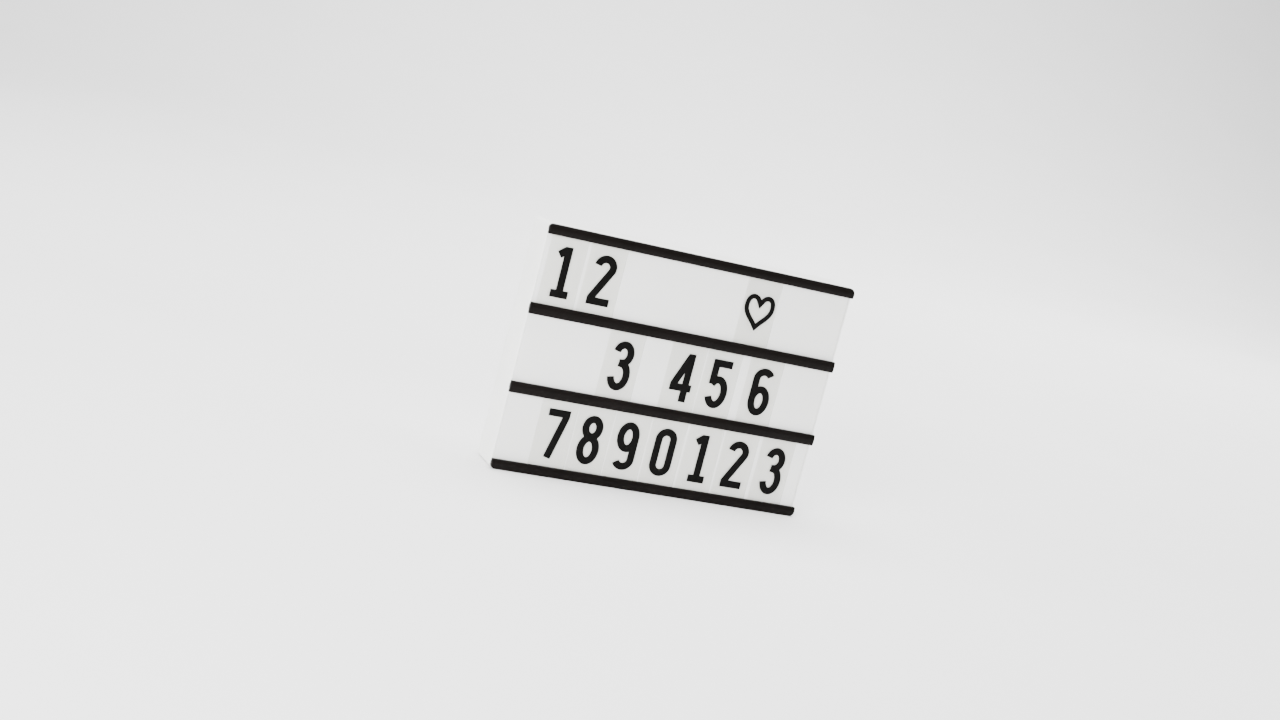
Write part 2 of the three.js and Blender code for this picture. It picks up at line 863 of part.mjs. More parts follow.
// The points of a conical spring along X, from its wide end on the contact plate to its narrow end
function springPoints(row) {
  const side = springSide(row);
  const wireRadius = springWireDiameter / 2;
  const baseX = contactFaceX(side) - side * (contactThickness + fitGap + wireRadius);
  const rise = springLength - springWireDiameter;
  const narrowing = (springLargeDiameter - springSmallDiameter) / 2;
  const steps = springTurns * springStepsPerTurn;
  const points = [];
  for (let i = 0; i <= steps; i++) {
    const share = i / steps;
    const radius = springLargeDiameter / 2 - wireRadius - narrowing * share;
    const angle = (i / springStepsPerTurn) * 4 * quarterTurn;
    points.push(
      new THREE.Vector3(
        baseX - side * rise * share,
        cellAxisY + radius * Math.cos(angle),
        rowCentreZ(row) + radius * Math.sin(angle),
      ),
    );
  }
  return points;
}

// The least gap between a spring's turns, measured between points at least half a turn apart
function leastTurnGap(points) {
  let least = Infinity;
  for (let i = 0; i < points.length; i++)
    for (let j = i + springStepsPerTurn / 2; j < points.length; j++)
      least = Math.min(least, points[i].distanceTo(points[j]));
  return least - springWireDiameter;
}

// A closed round tube through the points, with flat ends
function tubeThrough(points, diameter, sides) {
  const rings = points.map((point, i) => {
    const before = points[Math.max(i - 1, 0)];
    const after = points[Math.min(i + 1, points.length - 1)];
    return { point, along: after.clone().sub(before).normalize() };
  });
  const positions = [];
  let across = new THREE.Vector3(0, 0, 1);
  if (Math.abs(rings[0].along.dot(across)) > Math.SQRT1_2) across = new THREE.Vector3(0, 1, 0);
  for (const { point, along } of rings) {
    across.addScaledVector(along, -across.dot(along)).normalize();
    const up = new THREE.Vector3().crossVectors(along, across);
    for (let k = 0; k < sides; k++) {
      const angle = (k / sides) * 4 * quarterTurn;
      const offset = across.clone().multiplyScalar((Math.cos(angle) * diameter) / 2);
      offset.addScaledVector(up, (Math.sin(angle) * diameter) / 2);
      positions.push(...point.clone().add(offset).toArray());
    }
  }
  const index = [];
  for (let i = 0; i + 1 < rings.length; i++)
    for (let k = 0; k < sides; k++) {
      const next = (k + 1) % sides;
      const a = i * sides + k;
      const b = i * sides + next;
      index.push(a, b, a + sides, b, b + sides, a + sides);
    }
  const lastRing = (rings.length - 1) * sides;
  for (let k = 1; k + 1 < sides; k++) {
    index.push(0, k + 1, k);
    index.push(lastRing, lastRing + k, lastRing + k + 1);
  }
  const geometry = new THREE.BufferGeometry();
  geometry.setAttribute("position", new THREE.Float32BufferAttribute(positions, 3));
  geometry.setIndex(index);
  return solidFrom(geometry);
}

function addSprings() {
  for (let row = 0; row < cellRows; row++) {
    const points = springPoints(row);
    console.log(`battery_spring_${row + 1}: least gap between turns ${leastTurnGap(points).toFixed(2)} mm`);
    addPiece(`battery_spring_${row + 1}`, tubeThrough(points, springWireDiameter, springSides), nickelPlate);
  }
}

// Light strips

function lightStrip(z) {
  const board = centredBlock(0, stripLength, stripFrontY, stripBackY, z, stripWidth);
  const pitch = stripLength / lampsPerStrip;
  const lampDepths = [stripFrontY - lampHeight, stripFrontY + stripThickness / 2];
  const lamps = [];
  for (let i = 0; i < lampsPerStrip; i++) {
    const x = (i + 1 / 2) * pitch - stripLength / 2;
    lamps.push(centredBlock(x, lampSide, ...lampDepths, z, lampSide));
  }
  return joined([board, ...lamps]);
}

function addStrips() {
  for (const [name, z] of Object.entries(stripHeights))
    addPiece(`led_strip_${name}`, lightStrip(z), stripWhite);
}

// Control board, switch and socket

function controlBoard() {
  const backEdgeY = boardFrontY + boardReach;
  const board = block(
    recessX - boardWidth / 2,
    recessX + boardWidth / 2,
    boardFrontY,
    backEdgeY,
    boardTopHeight - boardThickness,
    boardTopHeight,
  );
  const chip = block(
    recessX - chipWidth / 2,
    recessX + chipWidth / 2,
    boardFrontY + chipReach / 2,
    boardFrontY + chipReach / 2 + chipReach,
    boardTopHeight - boardThickness / 2,
    boardTopHeight + chipHeight,
  );
  return board.add(chip);
}

function switchBody() {
  const faceY = recessInnerY - fitGap;
  const bodyLowY = faceY - switchReach;
  const body = centredBlock(switchX, switchWidth, bodyLowY, faceY, switchCentreHeight, switchHeight);
  const slotWidth = knobStemWidth + switchTravel + 2 * fitGap;
  const slot = centredBlock(
    switchX,
    slotWidth,
    faceY - switchSlotDepth,
    faceY + cutOverrun,
    switchCentreHeight,
    switchSlotHeight,
  );
  return cut(body, [slot]);
}

// The knob at rest stands at the low X end of its slot
function switchKnob() {
  const stemLowY = recessInnerY - switchSlotDepth;
  const capLowY = recessFloorY + fitGap;
  const capHighY = capLowY + knobCapReach;
  const restX = switchX - switchTravel / 2;
  const stemHighY = capLowY + knobCapReach / 2;
  const stem = centredBlock(restX, knobStemWidth, stemLowY, stemHighY, switchCentreHeight, knobStemHeight);
  const cap = centredBlock(restX, knobCapWidth, capLowY, capHighY, switchCentreHeight, knobCapHeight);
  const valleyPitch = knobCapWidth / (knobRidges + 1);
  const valleys = [];
  for (let i = 1; i <= knobRidges; i++)
    valleys.push(
      centredBlock(
        restX - knobCapWidth / 2 + i * valleyPitch,
        valleyPitch / 2,
        capHighY - knobRidgeDepth,
        capHighY + cutOverrun,
        switchCentreHeight,
        knobCapHeight + cutOverrun,
      ),
    );
  return cut(stem.add(cap), valleys);
}

function usbSocket() {
  const faceY = recessInnerY + socketProud;
  const shellLowY = faceY - socketReach;
  const shell = centredBlock(socketX, socketWidth, shellLowY, faceY, socketCentreHeight, socketHeight);
  const hollow = centredBlock(
    socketX,
    socketWidth - 2 * socketWall,
    faceY - socketHollowDepth,
    faceY + cutOverrun,
    socketCentreHeight,
    socketHeight - 2 * socketWall,
  );
  const tongue = centredBlock(
    socketX,
    socketTongueWidth,
    shellLowY + socketWall,
    faceY - socketProud,
    socketCentreHeight,
    socketTongueThickness,
  );
  return cut(shell, [hollow]).add(tongue);
}

// Screws

function coverScrew({ x, z }) {
  const seatY = cupFloorY + fitGap;
  const headTopY = seatY + screwHeadHeight;
  const head = rod(screwHeadDiameter, seatY, headTopY, x, z);
  const shankLowY = seatY - screwShankLength;
  const shank = rod(screwShankDiameter, shankLowY, seatY + screwHeadHeight / 2, x, z, pegSides);
  const slotLowY = headTopY - screwSlotDepth;
  const slots = [
    centredBlock(x, screwHeadDiameter / 2, slotLowY, headTopY + cutOverrun, z, screwSlotWidth),
    centredBlock(x, screwSlotWidth, slotLowY, headTopY + cutOverrun, z, screwHeadDiameter / 2),
  ];
  return cut(head.add(shank), slots);
}

// Leads between the contacts, the board and the light strips

function lead(corners) {
  const curve = new THREE.CatmullRomCurve3(corners, false, "centripetal");
  return tubeThrough(curve.getPoints(leadStepsPerSpan * (corners.length - 1)), leadDiameter, leadSides);
}

function point(x, y, z) {
  return new THREE.Vector3(x, y, z);
}

// From a pad on the board, over the guide beside it and on through the other corners
function leadFromBoard(side, y, corners) {
  const guideX = recessX + (side * boardWidth) / 2;
  const onBoard = boardTopHeight + fitGap + leadDiameter / 2;
  const inwardX = guideX - side * boardGuideThickness;
  return lead([
    point(inwardX - side * 2 * leadDiameter, y, onBoard),
    point(inwardX, y, onBoard + 2 * leadDiameter),
    point(inwardX + side * leadDiameter, y, guideTopHeight + 2 * leadDiameter),
    point(guideX + side * boardGuideThickness, y, guideTopHeight + leadDiameter),
    ...corners,
  ]);
}

function addLeads() {
  const leadStep = 2 * leadDiameter;
  const nearY = boardFrontY + leadDiameter;
  const farY = nearY + leadStep;
  const [tabLowY] = tabDepths(contactThickness);
  const tabY = tabLowY - fitGap - leadDiameter / 2;
  const tabX = bayHalfLength + bayWall + contactTabReach - leadDiameter;
  const besideBay = bayHalfLength + bayLeadRoom + leadDiameter;
  const overBay = bayTopHeight + bayLeadRoom + leadDiameter;
  const lastRowZ = rowCentreZ(cellRows - 1);
  const negativeRun = [
    point(besideBay + rowPitch, nearY, overBay - rowPitch / 2),
    point(besideBay - rowPitch / 2, tabY, overBay),
    point(-besideBay + rowPitch / 2, tabY, overBay),
    point(-besideBay, tabY, overBay - rowPitch / 2),
    point(-besideBay, tabY, rowCentreZ(0) + rowPitch),
    point(-tabX, tabY, rowCentreZ(0)),
  ];
  const positiveRun = [
    point(besideBay + rowPitch / 2, tabY, lastRowZ - leadStep),
    point(tabX, tabY, lastRowZ),
  ];
  addPiece("battery_lead_negative", leadFromBoard(-1, nearY, negativeRun), leadBlack);
  addPiece("battery_lead_positive", leadFromBoard(-1, farY, positiveRun), leadRed);

  const stripEndX = stripLength / 2 - leadDiameter;
  const stripLeadY = stripFrontY - fitGap - leadDiameter / 2;
  const besideBoard = recessX + boardWidth / 2 + boardGuideThickness + leadDiameter;
  const lowerRun = [
    point(besideBoard, nearY, boardMiddleHeight),
    point(besideBoard, nearY, stripHeights.lower + rowPitch),
    point(stripEndX, stripLeadY, stripHeights.lower),
  ];
  const middleRun = [
    point(stripEndX, stripLeadY, stripHeights.middle - rowPitch),
    point(stripEndX, stripLeadY, stripHeights.middle - leadDiameter),
  ];
  const upperRun = [
    point(stripEndX, stripLeadY, stripHeights.middle + leadDiameter),
    point(stripEndX, stripLeadY - leadStep, (stripHeights.middle + stripHeights.upper) / 2),
    point(stripEndX, stripLeadY, stripHeights.upper - leadDiameter),
  ];
  addPiece("led_lead_lower", leadFromBoard(1, nearY, lowerRun), leadRed);
  addPiece("led_lead_middle", leadFromBoard(1, farY, middleRun), leadRed);
  addPiece("led_lead_upper", lead(upperRun), leadRed);
}

addPiece("front_frame", frontFrame(), whiteAbs);
addPiece("diffuser_panel", diffuserPanel(), opalAcrylic);
addRails();
addCards();
addPiece("rear_cover", rearCover(), whiteAbs);
addPiece("battery_bay", batteryBay(), whiteAbs);
addPiece("battery_door", batteryDoor(), whiteAbs);
addContacts();
addSprings();
addStrips();
addPiece("control_board", controlBoard(), boardGreen);
addPiece("switch_body", switchBody(), switchBlack);
addPiece("switch_knob", switchKnob(), switchBlack);
addPiece("usb_socket", usbSocket(), nickelPlate);
screwPlaces().forEach((place, i) => addPiece(`cover_screw_${i + 1}`, coverScrew(place), zincSteel));
addLeads();

export default root;
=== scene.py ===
"""A cinema light box: a white housing with an opal front, black rails and cards with figures."""
import json
from math import asin, atan2, copysign, cos, degrees, hypot, pi, radians, sin, sqrt

import bmesh
import bpy
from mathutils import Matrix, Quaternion, Vector
from mathutils.geometry import delaunay_2d_cdt, interpolate_bezier


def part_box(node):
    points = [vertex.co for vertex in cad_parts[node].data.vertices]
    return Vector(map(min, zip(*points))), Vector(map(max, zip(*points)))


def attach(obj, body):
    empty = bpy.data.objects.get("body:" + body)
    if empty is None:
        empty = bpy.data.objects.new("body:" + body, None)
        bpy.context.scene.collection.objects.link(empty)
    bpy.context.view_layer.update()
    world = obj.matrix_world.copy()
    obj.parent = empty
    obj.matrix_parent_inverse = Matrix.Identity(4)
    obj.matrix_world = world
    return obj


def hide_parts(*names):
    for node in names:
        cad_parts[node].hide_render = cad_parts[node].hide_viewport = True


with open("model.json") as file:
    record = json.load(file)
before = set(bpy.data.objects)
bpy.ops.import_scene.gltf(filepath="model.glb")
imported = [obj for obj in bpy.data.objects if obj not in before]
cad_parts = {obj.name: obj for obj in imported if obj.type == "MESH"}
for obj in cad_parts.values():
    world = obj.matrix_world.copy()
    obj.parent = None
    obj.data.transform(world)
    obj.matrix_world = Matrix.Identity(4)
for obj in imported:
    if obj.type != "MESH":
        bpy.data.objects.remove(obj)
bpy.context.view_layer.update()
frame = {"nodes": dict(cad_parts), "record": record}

MM = 0.001

# Camera, from the perspective of the front's four corners and the rails in the photograph
SENSOR_WIDTH = 36
LENS = 50
CAMERA_AIM = Vector((-39.35, -22.5, 118.75))
CAMERA_DISTANCE = 1566.5
CAMERA_AZIMUTH = radians(-22.64)
CAMERA_ELEVATION = radians(8.97)
CAMERA_ROLL = radians(14.55)

# Studio, in metres: each lamp's place, aim, size and power in watts
BOX_MIDDLE = (0, 0, 0.11)
LAMPS = {
    "key_softbox": ((-1.7, -1.8, 0.7), BOX_MIDDLE, 1.2, 165),
    "fill_softbox": ((2.3, -0.5, 0.8), BOX_MIDDLE, 1.2, 26),
    "top_softbox": ((0.1, 0.35, 2.2), (0.1, 0.25, 0), 2, 170),
    "back_softbox": ((-2.4, 0.7, 0.7), BOX_MIDDLE, 0.8, 22),
    "backdrop_softbox": ((2.2, 1.8, 3.8), (4, 6.4, 0.9), 3.4, 760),
}
AMBIENT_COLOUR = "f4f4f4"
AMBIENT_STRENGTH = 0.5
FLOOR_REACH = 9
FLOOR_BEND = 6
BACKDROP_HEIGHT = 8

# Patterns: the band of a noise that is spread over a colour or a value, and its levels of detail
NOISE_LOW = 0.3
NOISE_HIGH = 0.7
COLOUR_DETAIL = 3
VALUE_DETAIL = 4
GRAIN_DETAIL = 2
CARD_IOR = 1.53
CARD_GLOSS = 0.4

# All sizes from here on are in millimetres

# Housing
WALL = 2.2
CORNER = 4
PANEL_RIM = 1.5
LEDGE_WIDTH = 8
LEDGE_THICKNESS = 1.8
PANEL_DEPTH = 2.3
FIT = 0.3
EDGE = 0.35
SOFT_EDGE = 0.8
COVER_THICKNESS = 2.5
COVER_SKIN = 1
STRIP_PAD_WIDTH = 6
STRIP_STANDOFF = 3
COVER_HOLE_EDGE = 0.25
LIP_THICKNESS = 1.5
LIP_DEPTH = 3

# Rails
RAIL_CROWN = 0.5
RAIL_ROUND = 1.2
GROOVE_WIDTH = 1.2
SEAT_GROOVE = 2.2
LIFT_GROOVE = 3.4
PEG_RADIUS = 1.5
# Each rail's groove at its lower and its upper edge, and the edge (1 is the upper, -1 the lower)
# that follows the housing's round corners
RAILS = {
    "rail_top": (LIFT_GROOVE, 0, 1),
    "rail_middle_upper": (LIFT_GROOVE, SEAT_GROOVE, 0),
    "rail_middle_lower": (LIFT_GROOVE, SEAT_GROOVE, 0),
    "rail_bottom": (0, SEAT_GROOVE, -1),
}

# Figures and heart
FIGURE_WIDTH = 21
FIGURE_HEIGHT = 44.6
FIGURE_STROKE = 6.7
HEART_WIDTH = 30
HEART_HEIGHT = 33.8
HEART_STROKE = 4.4
INK_THICKNESS = 0.04
# The figure on each card of a row, and how far its print stands off the card's middle
ROW_FIGURES = {
    "card_top": (("1", 0), ("2", 0), ("heart", 0)),
    "card_middle": (("3", 0), ("4", 0), ("5", 0), ("6", 0.5)),
    "card_bottom": (("7", 1), ("8", -0.7), ("9", -1), ("0", -0.2), ("1", 0), ("2", 0), ("3", 0.6)),
}

# Battery bay
BAY_WALL = 1.6
FLANGE_THICKNESS = 2
STAKE_RADIUS = 1.2
STAKE_LENGTH = 3
CELL_PITCH = 15
CELL_ROWS = 3
RIB_THICKNESS = 1.2
RIB_INSET = 8
CRADLE_HEIGHT = 4
MARK_PLACE = 17
MARK_LENGTH = 6
MARK_STROKE = 1.2
MARK_RELIEF = 0.4
MARK_EDGE = 0.1
CONTACT_THICKNESS = 0.5
CONTACT_TAB_WIDTH = 3
# The end wall and the cell row at which each contact has its solder tab
CONTACT_TABS = {"contact_negative": (-1, 0), "contact_positive": (1, 2)}

# Battery door
REBATE = 2
DOOR_CORNER = 2
DOOR_THICKNESS = 2
DOOR_RIB_DEPTH = 1
TAB_WIDTH = 12
TAB_THICKNESS = 1
TAB_LENGTH = 3
TAB_PLACE_SHARE = 0.3
TONGUE_WIDTH = 16
TONGUE_LENGTH = 10
TONGUE_SLIT = 1.2
THUMB_DEPTH = 0.8
GRIP_COUNT = 3
GRIP_WIDTH = 0.7
GRIP_DROP = 0.2
GRIP_EDGE = 0.2

# Screws with their cups and posts. A thread's ridge is given as radii and shares of the pitch, and
# the head's dome as shares of its radius and depths.
HEAD_BORE = 3.1
SHANK_BORE = 1.7
CUP_RADIUS = 4.6
CUP_DEPTH = 6.5
CUP_FLOOR = 1.8
POST_RADIUS = 3.6
POST_RIB = 1.6
SCREW_TIP = 0.3
SCREW_TIP_LENGTH = 1.6
SCREW_CORE = 1.1
SCREW_CREST = 1.4
SCREW_NECK = 1
THREAD_PITCH = 1.1
THREAD = ((SCREW_CORE, 0), (SCREW_CORE, 0.5), (SCREW_CREST, 0.75))
HEAD_BEVEL = 0.1
HEAD_BEVEL_DEPTH = 0.2
SLOT_DEPTH = 0.9
SLOT_WIDTH = 1
HEAD_DOME = ((1, 0.9), (0.92, 0.45), (0.72, 0.12), (0.45, 0))

# Recess with the switch and the socket
RECESS_WIDTH = 34
RECESS_HEIGHT = 12
RECESS_DEPTH = 3
RECESS_FLOOR = 2
RECESS_WALL = 1.8
RECESS_RISE = 3
SWITCH_SLOT_WIDTH = 5.6
SWITCH_SLOT_HEIGHT = 2
SWITCH_SLOT_CORNER = 0.5
SOCKET_CORNER = 0.6
SWITCH_MARK = 2
SWITCH_STROKE = 0.45
KNOB_STEM_WIDTH = 2
KNOB_STEM_HEIGHT = 1.4
KNOB_EDGE = 0.15
KNOB_RIDGES = 4
KNOB_RIDGE_HEIGHT = 0.4
KNOB_RIDGE_ROOT = 0.2
KNOB_RIDGE_INSET = 0.3
KNOB_RIDGE_EDGE = 0.12

# Control board and its guides
BOARD_THICKNESS = 1.6
GUIDE_THICKNESS = 4
GUIDE_WALL = 2.4

# Springs
SPRING_WIRE = 0.35
SPRING_WIDE = 4.8
SPRING_NARROW = 2.3
SPRING_TURNS = 4

# Keyholes
KEYHOLE_HEAD = 4.5
KEYHOLE_NECK = 2.3
KEYHOLE_RISE = 9
KEYHOLE_HEIGHT = 166
KEYHOLE_PLACE_SHARE = 0.333

# Divisions of curves, the overlap of a ring's halves in degrees, the angle of a sharp edge, and
# tolerances of outlines
CORNER_STEPS = 8
CIRCLE_STEPS = 32
SMALL_CIRCLE_STEPS = 24
STAKE_STEPS = 16
EDGE_STEPS = 3
FRONT_STEPS = 4
FLOOR_STEPS = 16
RAIL_ROUND_STEPS = 6
RAIL_CROWN_STEPS = 12
RAIL_CORNER_STEPS = 10
RAIL_END_ANGLES = (0, 0.4, 0.8, 1.2, pi / 2)
KEYHOLE_STEPS = 36
NECK_STEPS = 16
RING_STEPS = 20
RING_LAP = 4
HEART_STEPS = 18
SPRING_STEPS = 128
WIRE_SIDES = 10
SHARP_ANGLE = radians(32)
MITRE_LIMIT = 0.2
TOUCH = 1e-6
FILL_TOLERANCE = 1e-7
INK_TOLERANCE = 1e-5
SAME_POINT = 1e-4


def node_box(node):
    """The lowest and highest corner of a node, in millimetres."""
    low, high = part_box(node)
    return Vector(low) / MM, Vector(high) / MM


def node_middle(node):
    low, high = node_box(node)
    return (low.x + high.x) / 2, (low.z + high.z) / 2


FRAME_LOW, FRAME_HIGH = node_box("front_frame")
HOUSING_FRONT = FRAME_LOW.y
HOUSING_BACK = node_box("rear_cover")[1].y
CUP_SEAT = HOUSING_BACK - CUP_DEPTH
RECESS_SEAT = HOUSING_BACK - RECESS_DEPTH
HALF_WIDTH = FRAME_HIGH.x
HEIGHT = FRAME_HIGH.z
PEG_PLACE = HALF_WIDTH - PANEL_RIM - LEDGE_WIDTH / 2
KEYHOLE_PLACE = KEYHOLE_PLACE_SHARE * 2 * HALF_WIDTH

DOOR_HIGH = node_box("battery_door")[1]
BAY_HALF = DOOR_HIGH.x + FIT - REBATE
BAY_TOP = DOOR_HIGH.z + FIT - REBATE
BAY_LOW = BAY_TOP - CELL_ROWS * CELL_PITCH
TAB_PLACE = TAB_PLACE_SHARE * 2 * BAY_HALF


# Camera, light and floor


def add_object(name, data):
    added = bpy.data.objects.new(name, data)
    bpy.context.collection.objects.link(added)
    return added


def make_camera():
    camera = add_object("camera", bpy.data.cameras.new("camera"))
    camera.data.sensor_width = SENSOR_WIDTH
    camera.data.lens = LENS
    level = cos(CAMERA_ELEVATION)
    back = Vector((
        sin(CAMERA_AZIMUTH) * level,
        -cos(CAMERA_AZIMUTH) * level,
        sin(CAMERA_ELEVATION),
    ))
    camera.location = (CAMERA_AIM + back * CAMERA_DISTANCE) * MM
    camera.rotation_mode = "QUATERNION"
    roll = Quaternion((0, 0, 1), CAMERA_ROLL)
    camera.rotation_quaternion = (-back).to_track_quat("-Z", "Y") @ roll
    bpy.context.scene.camera = camera


def softbox(name, place, aim, size, watts):
    """A square studio lamp at place that shines at aim."""
    lamp = bpy.data.lights.new(name, "AREA")
    lamp.size = size
    lamp.energy = watts
    holder = add_object(name, lamp)
    holder.location = place
    holder.rotation_mode = "QUATERNION"
    holder.rotation_quaternion = (Vector(aim) - Vector(place)).to_track_quat("-Z", "Y")


def make_studio():
    for name, settings in LAMPS.items():
        softbox(name, *settings)
    world = bpy.data.worlds.new("studio")
    bpy.context.scene.world = world
    world.use_nodes = True
    background = world.node_tree.nodes["Background"]
    background.inputs["Color"].default_value = hex_colour(AMBIENT_COLOUR)
    background.inputs["Strength"].default_value = AMBIENT_STRENGTH


def make_floor():
    """A pale floor that turns up into a backdrop far behind the box."""
    bend = arc(FLOOR_REACH - FLOOR_BEND, FLOOR_BEND, FLOOR_BEND, FLOOR_BEND, -90, 0, FLOOR_STEPS)
    line = [(-FLOOR_REACH, 0), *bend, (FLOOR_REACH, BACKDROP_HEIGHT)]
    vertices = [(side * FLOOR_REACH, y, z) for y, z in line for side in (-1, 1)]
    faces = [(2 * i, 2 * i + 1, 2 * i + 3, 2 * i + 2) for i in range(len(line) - 1)]
    mesh = bpy.data.meshes.new("floor")
    mesh.from_pydata(vertices, [], faces)
    mesh.shade_smooth()
    mesh.materials.append(MATERIALS["floor"])
    add_object("floor", mesh)


# Colours and patterns


def hex_colour(text):
    """An sRGB hex colour as a linear colour with full alpha."""
    channels = [int(text[i:i + 2], 16) / 255 for i in (0, 2, 4)]
    linear = [c / 12.92 if c <= 0.04045 else ((c + 0.055) / 1.055) ** 2.4 for c in channels]
    return (*linear, 1)


def new_material(name):
    material = bpy.data.materials.new(name)
    material.use_nodes = True
    material.node_tree.nodes.clear()
    return material


def add_node(tree, kind, values=None, links=None, **settings):
    """Adds a shader node, with its properties as settings.

    The values and the linked sockets are given for the names or numbers of its inputs.
    """
    node = tree.nodes.new("ShaderNode" + kind)
    for name, value in settings.items():
        setattr(node, name, value)
    for name, value in (values or {}).items():
        node.inputs[name].default_value = value
    for name, socket in (links or {}).items():
        tree.links.new(socket, node.inputs[name])
    return node


def surface_places(tree):
    """The object's own coordinates in millimetres, so that a pattern's scale is 1 / its size."""
    coordinates = add_node(tree, "TexCoord")
    return add_node(
        tree,
        "VectorMath",
        {1: (1 / MM,) * 3},
        {0: coordinates.outputs["Object"]},
        operation="MULTIPLY",
    ).outputs[0]


def varied_colour(tree, places, size, dark, light):
    """A soft, slow change between two near colours, over patches of the given size."""
    patches = add_node(
        tree, "TexNoise", {"Scale": 1 / size, "Detail": COLOUR_DETAIL}, {"Vector": places}
    )
    ramp = add_node(tree, "ValToRGB", links={"Fac": patches.outputs["Fac"]})
    ends = zip(ramp.color_ramp.elements, (NOISE_LOW, NOISE_HIGH), (dark, light))
    for element, position, colour in ends:
        element.position = position
        element.color = hex_colour(colour)
    return ramp.outputs["Color"]


def varied_value(tree, places, size, low, high):
    """A value that changes between low and high over patches of the given size."""
    patches = add_node(
        tree, "TexNoise", {"Scale": 1 / size, "Detail": VALUE_DETAIL}, {"Vector": places}
    )
    return add_node(
        tree,
        "MapRange",
        {"From Min": NOISE_LOW, "From Max": NOISE_HIGH, "To Min": low, "To Max": high},
        {"Value": patches.outputs["Fac"]},
    ).outputs["Result"]


def grain_normal(tree, places, size, height, strength, stretch=(1, 1, 1)):
    """The relief of a fine grain, of the given size and height in millimetres."""
    stretched = add_node(tree, "VectorMath", {1: stretch}, {0: places}, operation="MULTIPLY")
    grain = add_node(
        tree,
        "TexNoise",
        {"Scale": 1 / size, "Detail": GRAIN_DETAIL},
        {"Vector": stretched.outputs[0]},
    )
    return add_node(
        tree,
        "Bump",
        {"Strength": strength, "Distance": height * MM},
        {"Height": grain.outputs["Fac"]},
    ).outputs["Normal"]


# Materials


def surface(name, values, colour, roughness, grain):
    """An opaque material, from its fixed values and its three patterns.

    Colour is a size and two colours, roughness a size and two values, and grain is its size,
    height and strength, and a stretch where it isn't even.
    """
    material = new_material(name)
    tree = material.node_tree
    places = surface_places(tree)
    links = {
        "Base Color": varied_colour(tree, places, *colour),
        "Roughness": varied_value(tree, places, *roughness),
        "Normal": grain_normal(tree, places, *grain),
    }
    shader = add_node(tree, "BsdfPrincipled", values, links)
    add_node(tree, "OutputMaterial", links={"Surface": shader.outputs[0]})
    return material


def white_abs():
    """White ABS, moulded in a spark-eroded tool.

    It gives an even off-white, with a fine matt grain that dulls reflections. The real grain is
    finer, and is drawn at 0.6 mm so that it shows.
    """
    return surface(
        "white_abs_moulded",
        {
            "IOR": 1.54,
            "Subsurface Weight": 0.05,
            "Subsurface Radius": (1, 1, 0.9),
            "Subsurface Scale": 0.8 * MM,
        },
        colour=(45, "e9e9e6", "eeeeec"),
        roughness=(6, 0.42, 0.52),
        grain=(0.6, 0.02, 0.5),
    )


def opal_acrylic():
    """Opal acrylic sheet, cast.

    It is milky, even and smooth, and light goes a little way in before it comes out. Its grain
    is the slow wave of the cast face, over 25 mm.
    """
    return surface(
        "opal_acrylic_sheet",
        {
            "IOR": 1.49,
            "Subsurface Weight": 0.25,
            "Subsurface Radius": (1, 1, 0.95),
            "Subsurface Scale": 2 * MM,
        },
        colour=(90, "dfdfdc", "e3e3e1"),
        roughness=(30, 0.28, 0.34),
        grain=(25, 0.02, 0.3),
    )


def black_abs():
    """Black ABS, extruded.

    It is a satin, warm near-black. Faint draw lines along its length stretch highlights. The
    real lines are closer, and are drawn 0.5 mm apart so that they show.
    """
    return surface(
        "black_abs_extruded",
        {"IOR": 1.54, "Specular IOR Level": 0.05},
        colour=(30, "090706", "0d0a09"),
        roughness=(4, 0.34, 0.42),
        grain=(0.5, 0.015, 0.5, (0.03, 1, 1)),
    )


def clear_pvc():
    """Clear PVC card, calendered.

    It is nearly invisible, with a thin gloss and a faint grey where light passes twice.
    """
    material = new_material("clear_pvc_card")
    tree = material.node_tree
    places = surface_places(tree)
    film = add_node(tree, "BsdfTransparent", {"Color": hex_colour("fdfdfc")})
    gloss = add_node(
        tree,
        "BsdfPrincipled",
        {"Base Color": hex_colour("e6e6e4"), "IOR": CARD_IOR},
        {"Roughness": varied_value(tree, places, 20, 0.12, 0.2)},
    )
    fresnel = add_node(tree, "Fresnel", {"IOR": CARD_IOR})
    share = add_node(tree, "MapRange", {"To Max": CARD_GLOSS}, {"Value": fresnel.outputs["Fac"]})
    links = {0: share.outputs["Result"], 1: film.outputs[0], 2: gloss.outputs[0]}
    mixed = add_node(tree, "MixShader", links=links)
    add_node(tree, "OutputMaterial", links={"Surface": mixed.outputs[0]})
    return material


def black_ink():
    """Black screen-printing ink on the card: dense and satin, with a very fine orange peel.

    The real peel is finer, and is drawn at 0.8 mm so that it shows.
    """
    return surface(
        "black_screen_ink",
        {"IOR": 1.5, "Specular IOR Level": 0.05},
        colour=(8, "050504", "080707"),
        roughness=(3, 0.4, 0.5),
        grain=(0.8, 0.01, 0.4),
    )


def plated_steel(name, dark, light, low_roughness, high_roughness):
    """Plated steel, drawn or stamped: bright metal with faint cloudy patches in its shine.

    The crystals of the plating are too fine to show, and are drawn at 0.3 mm.
    """
    return surface(
        name,
        {"Metallic": 1},
        colour=(3, dark, light),
        roughness=(1.5, low_roughness, high_roughness),
        grain=(0.3, 0.004, 0.4),
    )


def plain_plastic(name, dark, light, low_roughness, high_roughness, grain, ior=1.5):
    """Moulded or coated plastic of one colour, with a fine grain of the given size.

    The grain of the small pieces is drawn coarser than it is, so that it shows.
    """
    return surface(
        name,
        {"IOR": ior},
        colour=(10 * grain, dark, light),
        roughness=(5 * grain, low_roughness, high_roughness),
        grain=(grain, 0.02, 0.4),
    )


